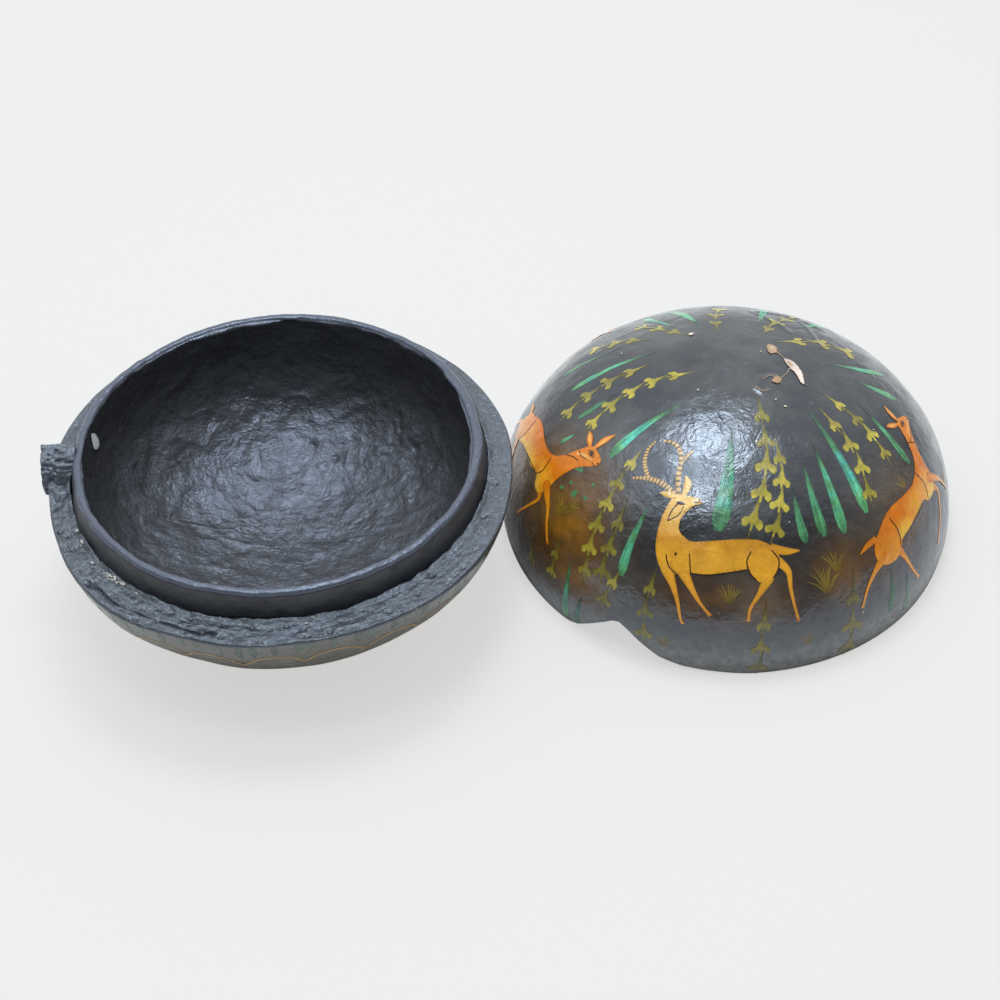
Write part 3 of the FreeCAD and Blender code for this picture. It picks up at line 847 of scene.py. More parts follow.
leapingFawn = {
    **fawn,
    "pale": [[(9, 14.6, 0.4), (12, 17, 1.3), (17, 19, 0.7)],
             [(9.2, 21.2, 0.3), (6.2, 22, 1.3), (4, 22.6, 0.3)],
             [(12.2, 23.4, 0.3), (11.9, 27, 1.4), (12.2, 30.4, 0.3)]],
    "body": [(-33.8, -3.1), (-36.5, -7), (-36, -12.5), (-29, -12.5), (-20, -8.8), (-9.8, -6.2), (-3.2, -6),
             (2.4, -4.6), (6.5, -7.6), (11, -7.2), (12.8, -2), (12.8, 3), (13.8, 9), (15.5, 13.4),
             (18.9, 17.6), (20.2, 20.4), (19, 22.3), (14.7, 22.6), (10.6, 21.4), (8.1, 16.3), (5.9, 10.6),
             (2.5, 6.2), (-2.9, 4.3), (-9.9, 4.1), (-16.6, 4.6), (-24.2, 2.9)],
    "thigh": [(-35, -4), (-36, -10), (-32, -14), (-26, -12), (-23.5, -6), (-26, -0.5), (-31, 0)],
    "limbs": [[(-33, -9, 5.5), (-41, -12, 3), (-46, -18, 2.1), (-53, -24, 2.6)],
              [(8.2, -5, 4.6), (12.4, -8.2, 3), (11.4, -13, 2.1), (6.4, -24, 2.6)],
              [(-29, -10, 6), (-23, -16, 3.4), (-17, -20, 2.2), (-10, -27.5, 2.6)],
              [(11.4, -2.5, 4.8), (19, -6.3, 3), (24.7, -11.5, 2.1), (31.7, -17.7, 2.6)]],
    "tails": [[(-34, -3, 2.4), (-38, -1.5, 2.2), (-42, -2, 0.5)],
              [(10.4, 20.7, 1.4), (6.2, 22, 2.8), (3, 22.9, 0.5)],
              [(12.3, 21.8, 1.4), (11.8, 27, 3), (12.3, 31.8, 0.5)]],
    "ink": [[(2, 4.5, 0.4), (4, -1, 0.5), (2.6, -4.4, 0.4)],
            [(-24.5, 1, 0.4), (-23.4, -6, 0.5), (-26, -12, 0.4)],
            [(12.6, 19.9, 0.6), (13.7, 20.1, 1.3), (14.8, 19.8, 0.5)],
            [(17.4, 18.6, 0.3), (19.6, 18.9, 0.3)], [(11.4, 19.6, 0.3), (13.6, 21, 0.35), (16, 20.2, 0.3)],
            [(11.4, 19.6, 0.3), (13.6, 19.2, 0.3), (16, 20.2, 0.3)], [(19.2, 20.6, 0.6), (19.8, 20.2, 0.6)],
            [(8.4, 16.2, 0.3), (11.4, 16, 0.35), (14.4, 17.2, 0.3)],
            [(6, 10.6, 0.4), (9.5, 13, 0.4), (12.6, 14, 0.3)],
            [(-20, -8.4, 0.4), (-9.8, -6, 0.4), (1, -4.8, 0.4)]],
}
rearingFawn = {
    **fawn,
    "pale": [[(27.4, 11, 0.4), (30.6, 15.2, 1.2), (36.4, 17.4, 0.7)],
             [(31, 22.6, 0.3), (31.3, 25.4, 1.3), (32.6, 28.6, 0.3)],
             [(27.4, 21.2, 0.3), (24.6, 22.7, 1.2), (22.4, 24, 0.3)]],
    "body": [(28.1, 20.3), (31.5, 21.8), (35.1, 20.9), (39.7, 19), (39.2, 17.3), (33, 14.3), (28.2, 9.5),
             (25.2, 3), (24.6, -2.5), (21.5, -7.6), (13.5, -7.6), (10, -5.2), (3.5, -6), (-6.7, -7.4),
             (-12.1, -8), (-17, -10), (-24, -8.5), (-24.5, -4), (-21.1, 0.6), (-13.9, 4), (-7.5, 5),
             (3, 3.6), (9.2, 3.2), (15, 4.8), (20.7, 8.4), (24.9, 14.5)],
    "thigh": [(-24, -1), (-26.5, -6), (-24, -11), (-18, -12.5), (-12.5, -9.5), (-11, -4), (-14, 1),
              (-19, 1.6)],
    "limbs": [[(-15.5, -8.5, 5.5), (-13.6, -14.5, 3.4), (-12, -22, 2.2), (-8.8, -31, 2.6)],
              [(19, -5, 5), (23.8, -10, 3), (18.5, -18, 2.1), (10.5, -28.6, 2.6)],
              [(-23, -7.5, 5.5), (-30.4, -10.4, 3.4), (-37.2, -15, 2.2), (-43.9, -22.5, 2.6)],
              [(22.5, -3, 5), (29.5, -8.4, 3), (34, -14, 2.1), (39, -20.5, 2.6)]],
    "tails": [[(-22, 0.6, 2.6), (-27, 0.8, 2.4), (-32, 0, 0.5)],
              [(30.6, 21, 1.4), (31.2, 25.4, 2.8), (33, 29.6, 0.5)],
              [(28.6, 20.6, 1.4), (24.4, 22.8, 2.6), (21.6, 24.4, 0.5)]],
    "ink": [[(15, 4.6, 0.4), (16.4, -1.5, 0.5), (13.5, -7.2, 0.4)],
            [(-11.4, 2.6, 0.4), (-11, -4, 0.5), (-13.5, -10, 0.4)],
            [(30.6, 18.8, 0.6), (31.7, 19, 1.3), (32.9, 18.6, 0.5)], [(36.6, 17.8, 0.3), (38.8, 17.9, 0.3)],
            [(29.4, 18.6, 0.3), (31.6, 20, 0.35), (34, 19, 0.3)],
            [(29.4, 18.6, 0.3), (31.6, 18, 0.3), (34, 19, 0.3)], [(38.8, 19, 0.6), (39.3, 18.6, 0.6)],
            [(26.2, 12.6, 0.3), (29, 13, 0.35), (31.8, 14.6, 0.3)],
            [(24.4, 13.4, 0.4), (27, 11.6, 0.4), (29, 10.6, 0.3)],
            [(-10.5, -7.8, 0.4), (-3, -6.8, 0.4), (9, -5.2, 0.4)]],
}


def hoofed(limb):
    # a slender leg that ends in a small hoof
    limb = np.array(limb, float)
    limb[0, 2] *= 0.86
    limb[1:, 2] *= 0.66
    start = [[*(limb[0] + (limb[0] - limb[1]) * 0.3)[:2], 0.5 * limb[0, 2]]]
    knee, end = limb[-2:].copy()
    hoof = ((0.78, 1.35), (0.93, 2.1), (1.0, 0.7))
    foot = [[*(knee + (end - knee) * share)[:2], wide] for share, wide in hoof]
    return np.concatenate([start, limb[:-1], foot])


def drawAnimal(sheet, lines, figure, place):
    for limb in figure["limbs"][:2]:
        drawStroke(sheet, hoofed(limb), place, 2, figure["legs"], 5, 0.4)
    drawPatch(sheet, figure["body"], place, 3, figure["coat"])
    drawPatch(sheet, figure["thigh"], place, 4, figure["haunch"])
    for limb in figure["limbs"][2:]:
        drawStroke(sheet, hoofed(limb), place, 4, figure["legs"], 5, 0.4)
    for patch in figure["pale"]:
        drawStroke(sheet, patch, place, 5, figure["cream"], 5, 0.4)
    for tail in figure["tails"]:
        drawStroke(sheet, tail, place, 4, figure["coat"], 5)
    for horn in figure["horn"]:
        drawStroke(sheet, horn, place, 3, figure["horns"], 3, 0.2)
    for line in figure["ink"]:
        drawStroke(lines, line, place, 6, inkLine)


animals = newSheet(onDome)
inkLines = newSheet(onDome)
for figure, place in ((antelope, (264, 49, 0, 1.0)), (leapingFawn, (192, 46, 0, 1.0)),
                      (rearingFawn, (326, 45, 0, 1.0)), (rearingFawn, (58, 31, 0, 0.72)),
                      (leapingFawn, (122, 32, 0, 0.75))):
    drawAnimal(animals, inkLines, figure, place)
paintedPiece("lid_animals", animals, "lid", "lacquer", paint)
paintedPiece("lid_ink_lines", inkLines, "lid", "lacquer", paint)


# Plants on the lid

plants = {
    # tip and base as bearing and climb, then the number of leaves
    "sprays": [((164, 94), (181, 60), 4), ((173, 112), (193, 69), 5), ((220, 79), (226, 27), 6),
               ((229, 58), (231, 30), 3), ((244, 40), (245, 13), 3), ((292, 112), (271, 61), 5),
               ((291, 92), (278, 58), 4), ((331, 92), (315, 57), 4), ((345, 93), (333, 62), 4),
               ((274, 32), (273, 2), 3), ((298, 35), (296, 2), 3), ((215, 32), (216, 17), 2),
               ((235, 36), (233, 20), 2), ((207, 23), (208, 12), 1), ((136, 84), (145, 60), 3),
               ((122, 96), (126, 70), 3), ((98, 98), (90, 72), 3), ((46, 98), (27, 70), 3)],
    # tip and base, width, share of blue, strength
    "blades": [((214, 105), (211, 69), 4.4, 0.5, 1.0), ((151, 96), (171, 63), 3.6, 0.4, 0.9),
               ((146, 78), (158, 53), 3.0, 0.2, 0.6), ((236, 64), (236, 34), 4.2, 0.3, 0.9),
               ((262, 101), (260, 59), 7.4, 0.4, 0.75), ((289, 74), (288, 53), 4.0, 0.1, 0.75),
               ((298, 82), (294, 53), 4.4, 0.2, 0.8), ((308, 87), (300, 51), 4.6, 0.35, 0.9),
               ((323, 99), (309, 53), 4.8, 0.6, 1.0), ((349, 81), (338, 52), 3.8, 0.3, 0.8),
               ((221, 30), (222, 2), 3.8, 0.3, 0.8), ((227, 19), (226, 3), 3.0, 0.9, 0.5),
               ((192, 64), (191, 56), 2.6, 0.2, 0.8), ((6, 80), (5, 60), 4.0, 0.3, 0.9),
               ((311, 31), (309, 12), 3.6, 0.1, 0.5), ((316, 25), (315, 6), 3.2, 0.1, 0.5),
               ((181, 84), (186, 66), 3.0, 0.2, 0.6)],
    # bearing, climb, height and number of stalks
    "tufts": [(210, 40, 9, 7), (213, 45, 6, 5), (265, 34, 8, 8), (291, 33, 13, 9), (295, 40, 9, 6),
              (330, 50, 6, 5), (250, 12, 6, 5), (285, 14, 6, 5), (176, 18, 8, 7), (350, 26, 8, 7)],
    # right half of a leaf, from its tip down over a lobe to the stalk
    "leaf": [(0.05, 0.82), (0.1, 0.62), (0.15, 0.46), (0.26, 0.34), (0.44, 0.29), (0.54, 0.2), (0.5, 0.08),
             (0.38, 0.02), (0.24, 0.07), (0.13, 0.15), (0.06, 0.1), (0.05, -0.04)],
    "leafTints": [(222, 202, 72), (190, 174, 54), (146, 136, 48)],
    "stalkTint": (104, 98, 34),
    # green, blue green, and the ground at the tip
    "bladeTints": [(98, 178, 114), (50, 180, 200), (28, 48, 34)],
    "grassTints": [(124, 100, 32), (166, 142, 56)],
    "dots": 11,
    "dotTint": (74, 140, 84),
    "dotBearings": (204, 215),
    "dotClimbs": (48, 60),
    "seed": 5,
}
chance = np.random.default_rng(plants["seed"])
# the far side carries on in the same way
plants["sprays"].append(((64, 98), (59, 64), 4))
for tip, base in (((70, 92), (73, 60)), ((107, 95), (109, 62)), ((17, 90), (18, 60)), ((52, 82), (51, 56)),
                  ((118, 86), (118, 60))):
    plants["blades"].append((tip, base, chance.uniform(3.6, 4.8), chance.uniform(0.2, 0.6), 0.9))
for turn in range(8, 158, 15):
    plants["sprays"].append(((turn + 6, chance.uniform(28, 36)), (turn + 5, 6), 3))
    plants["tufts"].append((turn + 11, chance.uniform(26, 34), 8, 6))


def stemPlace(tip, base, share):
    # where a plant has grown to, and how it leans there
    bearing, climb = (b + (t - b) * share for t, b in zip(tip, base))
    radius = np.interp(climb, outerDome[0], outerDome[1])
    aside = math.radians(tip[0] - base[0]) * radius
    rise = tip[1] - base[1]
    return bearing, climb, math.degrees(math.atan2(-aside, rise)), math.hypot(aside, rise)


def drawSpray(sheet, tip, base, count):
    reach = stemPlace(tip, base, 0.5)[3]
    half = np.array(plants["leaf"])
    leaf = np.concatenate([[(0, 1.08)], half, half[::-1] * [-1, 1]])
    for k in range(count):
        bearing, climb, lean, _ = stemPlace(tip, base, k / count)
        place = (bearing, climb, lean + chance.uniform(-7, 7), 1.0)
        last = k == count - 1
        long = reach / count * (1.3 if last else chance.uniform(1.05, 1.25))
        wide = reach / count * (0.5 if last else chance.uniform(0.62, 0.82))
        glow = chance.uniform(0.66, 1.0) * (0.84 + 0.16 * float(smoothStep(climb, 20, 50)))
        tints = [(where, tuple(glow * c for c in colour))
                 for where, colour in zip((0, 0.3 * long, long), plants["leafTints"])]
        stalk = [(0, -0.3 * long, 0.4), (0, 0.3 * long, 0.6)]
        drawStroke(sheet, stalk, place, 0, plain(*plants["stalkTint"]))
        green = shaded(tints, (0, 1), int(chance.integers(99)), 0.2, 0.7)
        drawPatch(sheet, leaf * [wide, long], place, 1, green, 1.0, 0.5, 0.12)


def drawBlade(sheet, tip, base, width, blue, strength):
    bearing, climb, lean, reach = stemPlace(tip, base, 0.5)
    bend = chance.uniform(-0.04, 0.04) * reach
    line = [(0, -0.5 * reach, 0.4 * width), (bend * 0.6, -0.36 * reach, 0.9 * width),
            (bend, -0.05 * reach, 0.68 * width), (bend * 0.6, 0.28 * reach, 0.36 * width),
            (0, 0.5 * reach, 0.1)]
    green, teal, ground = np.array(plants["bladeTints"])
    middle = green + (teal - green) * blue
    stops = [(0, green * 0.8), (0.25, green), (0.45, middle), (0.65, green * 0.85), (1, ground)]
    stops = [(where, tuple(ground + (colour - ground) * strength)) for where, colour in stops]
    brushed = shaded(stops, None, int(chance.integers(99)), 0.2, 0.45, 0, 0.45)
    drawStroke(sheet, line, (bearing, climb, lean, 1.0), 0, brushed, 13)


def drawTuft(sheet, bearing, climb, height, count):
    for k in range(count):
        aside = (k - (count - 1) / 2) / count
        tall = height * chance.uniform(0.6, 1.0) * (1 - 0.5 * abs(aside))
        tipX = aside * height * 1.3
        line = [(aside * 2, 0, 0.6), (aside * 2 + tipX * 0.35, tall * 0.6, 0.55), (tipX, tall, 0.15)]
        drawStroke(sheet, line, (bearing, climb, 0, 1.0), 0, shaded(list(enumerate(plants["grassTints"]))), 3)


def drawAll(draw, rows):
    sheet = newSheet(onDome)
    for row in rows:
        draw(sheet, *row)
    return sheet


paintedPiece("lid_leaf_sprays", drawAll(drawSpray, plants["sprays"]), "lid", "lacquer", thinPaint)
paintedPiece("lid_green_blades", drawAll(drawBlade, plants["blades"]), "lid", "lacquer", thinPaint)
grass = drawAll(drawTuft, plants["tufts"])
for _ in range(plants["dots"]):
    spot = (chance.uniform(*plants["dotBearings"]), chance.uniform(*plants["dotClimbs"]), 0, 1.0)
    long = chance.uniform(0.6, 1.3)
    dot = [(-long, -0.3, 0.5), (0, 0, 1.5), (long, 0.5, 0.5)]
    drawStroke(grass, dot, spot, 0, plain(*plants["dotTint"]), 5)
paintedPiece("lid_grass", grass, "lid", "lacquer", thinPaint)


# Wear on the lid, with painted highlights along a blister's rim

wear = {
    # outlines of bare paper as bearings and climbs, with how brown they are
    "flakes": [([(52, 104.5), (46, 103.4), (38, 106), (40, 109), (48, 108)], 0.8),
               ([(26, 106.4), (22, 104), (13, 103), (3, 102.3), (351, 102), (353, 103.6), (4, 105.4),
                 (13, 106.9), (21, 107.3)], 0.0),
               ([(22, 106.2), (18, 104.9), (13, 105), (15, 106.3)], 0.7),
               ([(356, 112.8), (350, 110.8), (340, 112), (342, 114.6)], 0.9)],
    "cracks": [([(39, 106), (32, 106.3), (24, 106)], 0.6, 1.0),
               ([(12, 106.4), (2, 109), (352, 111.6)], 0.5, 1.0), ([(353, 102.6), (350, 100.6)], 0.4, 0.8),
               # the two palest lines are painted highlights along the blister's rim, not cracks
               ([(311, 118), (313, 114.8), (325, 113.4)], 0.35, 1.1),
               ([(351, 113.2), (354, 115.4), (340, 117.8)], 0.35, 1.1)],
    "spots": [(117, 97.4, 1.3), (316, 104.4, 0.6), (50, 111, 0.5), (46, 105.6, 0.8), (210, 112, 0.5),
              (316, 109, 0.4), (150, 80, 0.5), (300, 20, 0.5), (248, 70, 0.35), (284, 62, 0.3),
              (340, 72, 0.4), (228, 94, 0.3)],
}


def polarLine(line, middle, widths):
    # a line of bearings and climbs as x, y and width about its middle
    radius = np.interp(middle[1], outerDome[0], outerDome[1])
    points = []
    for (bearing, climb), width in zip(line, widths):
        turn = math.radians(turnFrom(middle[0], bearing))
        away = np.interp(climb, outerDome[0], outerDome[1])
        points.append((away * math.sin(turn), radius - away * math.cos(turn), width))
    return points


chipsAndHighlights = newSheet(onDome)
for k, (outline, brown) in enumerate(wear["flakes"]):
    bearings, climbs = np.array(outline).T
    middle = (float(np.degrees(np.mean(np.unwrap(np.radians(bearings))))), float(np.mean(climbs)))
    tone = (236 - 56 * brown, 216 - 72 * brown, 204 - 96 * brown)
    ragged = [point[:2] for point in polarLine(outline, middle, [0] * len(outline))]
    # the chips darken towards their rims, a painted shadow along the flake's raised edge, and a little
    # towards one side
    worn = shaded([(-3, tone), (3, tuple(0.82 * c for c in tone))], (0.7, 0.7), 9, 0.6, 0.4)
    drawPatch(chipsAndHighlights, ragged, (*middle, 0, 1.0), 7 + k, worn, 0.7, 0.3, 0.22)
# cracks are drawn as brownish lines; the palest ones are painted highlights on the blister's rim
for line, width, pale in wear["cracks"]:
    widths = [width * share for share in (1.2, 0.7, 0.9)][:len(line)]
    tone = plain(150 * pale, 128 * pale, 106 * pale)
    drawStroke(chipsAndHighlights, polarLine(line, line[1], widths), (*line[1], 0, 1.0), 6, tone, 3, 0.3)
for bearing, climb, size in wear["spots"]:
    ragged = [(size * r * math.cos(a), size * r * math.sin(a)) for a, r in
              zip(np.arange(0, 6.2, 0.7), chance.uniform(0.5, 1.1, 9))]
    drawPatch(chipsAndHighlights, ragged, (bearing, climb, 0, 1.0), 8, plain(206, 190, 172), 0.8, 0.3)
paintedPiece("lid_chips_and_highlights", chipsAndHighlights, "lid", "lacquer", barePaper)


# Base

baseLow, baseHigh = nodeBox("base_shell")
bowlLow, bowlHigh = nodeBox("inner_bowl")
ringLow, ringHigh = nodeBox("ledge_ring")
rimRadius = (baseHigh[0] - baseLow[0]) / 2
ledgeHeight = ringHigh[2]
collarTop = bowlHigh[2]
collarCentre = np.array([*(bowlLow + bowlHigh)[:2] / 2, 0])
collarRoot = (bowlHigh[0] - bowlLow[0]) / 2
ringOutside = (ringHigh[0] - ringLow[0]) / 2
baseShape = {
    "footRadius": 29.0,
    "bellyRise": 9.0,  # centre of the outline's oval, above the ledge
    "edgeRound": 1.0,
    "floor": 4.2,
    "lining": 5.1,
    "lip": 3.2,
    "lipRound": 1.3,
    "glue": 0.1,
    "columns": 960,
    "bowlColumns": 700,
    "outsideLumps": [(60, 0.35), (22, 0.2), (8, 0.06)],
    "ledgeLumps": [(9, 0.3), (3.2, 0.13), (1.5, 0.11)],
    "ridges": [(1.9, 0.09), (0.9, 0.07)],  # run round the ledge, six times as long as wide
    "ridgeTurn": 14.0,
    "coarsest": 250.0,  # bearing where the ledge is roughest
    "bowlLumps": [(40, 0.5), (15, 0.5), (7, 0.3), (3.4, 0.14)],
    "bowlWrinkles": [(13, 0.45), (6, 0.14)],
    "bowlSquare": 2.3,  # 2 would be an oval section
    "collarLumps": [(45, 0.5), (14, 0.35), (5, 0.22), (2.2, 0.08)],
    "lipLumps": [(50, 0.6), (16, 0.35), (6, 0.22), (2.5, 0.08)],
    "beadLumps": [(7, 0.5), (2.5, 0.35)],
    # hand-made rim: bearing, and how far the edge bulges out there
    "rimWave": [(0, -0.7), (15, 0), (41, 0.6), (90, 0.2), (150, 0.2), (192, -1.8), (205, -1.3), (213, 0),
                (226, 1.2), (231, 1.5), (241, 0.6), (251, -0.5), (262, 0.1), (279, -0.8), (290, -0.2),
                (305, 0.4), (316, 1.1), (330, 0.7), (349, -0.6)],
    # cracks in the ledge, as bearing and distance from the axis
    "cracks": [[(220, 84.6), (225, 84.6), (230, 85.7), (235, 84.6), (244, 84), (248, 83.5), (252, 84.4),
                (257, 82.6)],
               [(190.2, 78.4), (191.4, 80.2), (193, 82), (193.4, 84.4)]],
    # pulp smeared against the key's nose: bearing, height, how far it runs out
    "nose": (187.6, 3.4, 9.0),
    "pits": 150,
    "pitBand": (78, 87),
    "pitWide": (0.5, 1.1),
    "pitDeep": (0.3, 0.9),
    "holeDeep": 1.5,
    # larger holes: bearing, distance from the axis, half width
    "holes": [(221.6, 84.7, 1.5), (254.5, 82.9, 1.4), (341, 80.4, 1.2), (353.6, 80.9, 0.8), (316, 79.4, 1.3)],
    "seed": 12,
}
baseChance = np.random.default_rng(baseShape["seed"])


def pitSize(shape):
    return baseChance.uniform(*shape["pitWide"]), baseChance.uniform(*shape["pitDeep"])


def circleRows(radius, height, bearing, centre=collarCentre):
    # one row of points for each radius and height
    radius, height = np.atleast_1d(radius)[:, None], np.atleast_1d(height)[:, None]
    return aroundAxis(radius, bearing, height) + centre


def ovalThrough(level, first, second):
    # half width and half height of the oval about (0, level) through two points of a section
    riseA, riseB = (first[1] - level) ** 2, (second[1] - level) ** 2
    whole = first[0] ** 2 * riseB - second[0] ** 2 * riseA
    return math.sqrt(whole / (riseB - riseA)), math.sqrt(whole / (first[0] ** 2 - second[0] ** 2))


baseLevel = ledgeHeight + baseShape["bellyRise"]
baseWide, baseTall = ovalThrough(baseLevel, (baseShape["footRadius"], 0), (rimRadius, ledgeHeight))


def baseOutside(bearing, height, lift=0.0):
    # points of the hand-made outside, pushed out by its lumps and by lift
    radius = baseWide * np.sqrt(1 - ((height - baseLevel) / baseTall) ** 2)
    outR, outZ = radius / baseWide ** 2, (height - baseLevel) / baseTall ** 2
    size = np.hypot(outR, outZ)
    points = aroundAxis(radius, bearing, height)
    out = aroundAxis(outR, bearing, outZ) / size[..., None]
    where, wave = np.array(baseShape["rimWave"]).T
    bulge = np.interp(np.degrees(bearing) % 360, where, wave, period=360) * smoothStep(height, 12, 50)
    push = lumps(points, baseShape["outsideLumps"], 31) * smoothStep(height, 0, 8) + bulge + lift
    return points + out * push[..., None]


ledgePits = [polarPoint(baseChance.uniform(0, 360), baseChance.uniform(*baseShape["pitBand"]))
             for _ in range(baseShape["pits"])]
ledgePits += [polarPoint(bearing, away) for bearing, away, _ in baseShape["holes"]]
pitSizes = [pitSize(baseShape) for _ in range(baseShape["pits"])]
pitSizes += [(wide, baseShape["holeDeep"]) for _, _, wide in baseShape["holes"]]
crackLines = [np.array([polarPoint(*place)[:2] for place in line]) for line in baseShape["cracks"]]


def ledgeRough(points):
    # height of the rough pulp on the ledge: lumps, ridges, pits, cracks and the smear at the key
    turn = np.arctan2(points[..., 1], points[..., 0])
    away = np.hypot(points[..., 0], points[..., 1])
    wound = aroundAxis(baseShape["ridgeTurn"], turn, away)
    flat = points * [1, 1, 0]
    height = lumps(flat, baseShape["ledgeLumps"], 41) + lumps(wound, baseShape["ridges"], 45)
    coarse = 0.4 + 0.6 * smoothStep(np.cos(turn - math.radians(baseShape["coarsest"])), 0.0, 0.8)
    height = (height - dents(flat, ledgePits, pitSizes)) * coarse - 0.15
    gaps = [lineGap(flat[..., :2].reshape(-1, 2), line) for line in crackLines]
    gap = np.min(gaps, axis=0).reshape(turn.shape)
    wide = 0.3 + 0.28 * softNoise(flat, 3.0, 47)
    bearing, tall, reach = baseShape["nose"]
    past = turnFrom(bearing, np.degrees(turn)) * np.radians(away)
    smear = tall * smoothStep(past, reach, 0) * smoothStep(past, -6, -2)
    smear = smear * (1 + 0.3 * softNoise(flat, 3.5, 49))
    return height - 1.4 * np.exp(-(gap / wide) ** 2) + smear


def makeBaseShell():
    bearing = roundBearings(baseShape["columns"])
    foot = circleRows([0, 10, 20, baseShape["footRadius"] - 0.6], [0, 0, 0, 0], bearing, np.zeros(3))
    edge = ledgeHeight - baseShape["edgeRound"]
    spread = np.linspace(math.asin(-baseLevel / baseTall), math.asin((edge - baseLevel) / baseTall), 46)
    height = (baseLevel + baseTall * np.sin(spread))[:, None]
    wall = baseOutside(*np.broadcast_arrays(bearing, height))
    outer = wall[-1] * (1 - 0.6 * baseShape["edgeRound"] / rimRadius)
    outer[:, 2] = ledgeHeight
    seat = ringOutside + baseShape["glue"]
    inner = circleRows(seat, ledgeHeight, bearing)[0]
    ledge = outer + (inner - outer) * np.linspace(0, 1, 24)[:, None, None]
    ledge[..., 2] += ledgeRough(ledge)
    rebate = circleRows([seat, collarRoot + baseShape["glue"]], [ringLow[2] - 0.1] * 2, bearing)
    turn = np.linspace(0, math.pi / 2, 12)
    deep = ledgeHeight - baseShape["floor"]
    hollow = circleRows((collarRoot + baseShape["glue"]) * np.cos(turn), ledgeHeight - deep * np.sin(turn),
                        bearing)
    hollow = hollow[hollow[:, 0, 2] < ringLow[2] - 0.2]
    return turnedPiece("base_shell_lacquered", np.concatenate([foot, wall, ledge, rebate, hollow]))


def makeLedgeRing():
    # its top laps a little over the shell, so that the joint is smeared shut
    bearing = roundBearings(baseShape["columns"])
    inside, lap = collarRoot + baseShape["glue"], 0.5
    across = np.linspace(inside, ringOutside + lap, 20)
    crown = circleRows(across, np.full(20, ledgeHeight), bearing)
    crown[..., 2] += ledgeRough(crown)
    bead = lumps(crown * [1, 1, 0], baseShape["beadLumps"], 48)
    crown[..., 2] += (0.8 + bead) * smoothStep(across, inside + 2.6, inside)[:, None]
    crown[..., 2] += 0.06 - 0.1 * smoothStep(across, ringOutside, ringOutside + lap)[:, None]
    rest = circleRows([ringOutside, ringOutside, inside], [ledgeHeight - 2, ringLow[2], ringLow[2]],
                      bearing)
    return turnedPiece("ledge_ring_pulp", np.concatenate([crown, rest]), poles=False)


bowlBore = collarRoot - baseShape["lining"]
bowlFloor = baseShape["floor"] + baseShape["glue"] + baseShape["lining"]
bowlWear = {
    # bearing and height of pits, and their half width
    "pits": [(69, 17, 1.5), (82, 18.6, 1.3), (37, 27, 2.2), (196, 12, 1.6), (94, 55, 1.0)],
    "creases": [[(50, 33), (47, 29), (37, 27)], [(47, 29), (45, 25), (50, 22)],
                [(250, 22), (272, 19), (296, 21)]],
    "pitDeep": 0.7,
    "dents": 110,
    "dentWide": (0.9, 2.0),
    "dentDeep": (-0.35, 0.5),
    # place of the bare spot as bearing and height, and its outline
    "chip": (169.5, 56.5),
    "chipOutline": [(2.6, 5.6), (2.9, 3), (2.6, -1.2), (0, -4), (-2.2, -4.4), (-2.9, -2.4), (-1.8, 1.6),
                    (0.4, 4.8)],
    "lipThick": (335, 393, 0.9),  # from bearing, to bearing, how much thicker the lip is there
    "wornLip": 60,  # number of scuffs
    "glossy": (95, 20, 27),  # bearing, height and half width of the part with the most varnish
}


def bowlPlace(bearing, height):
    deep = min(max(ledgeHeight - height, 0) / (ledgeHeight - bowlFloor), 1)
    away = bowlBore * (1 - deep ** baseShape["bowlSquare"]) ** (1 / baseShape["bowlSquare"])
    return collarCentre + polarPoint(bearing, away, height)


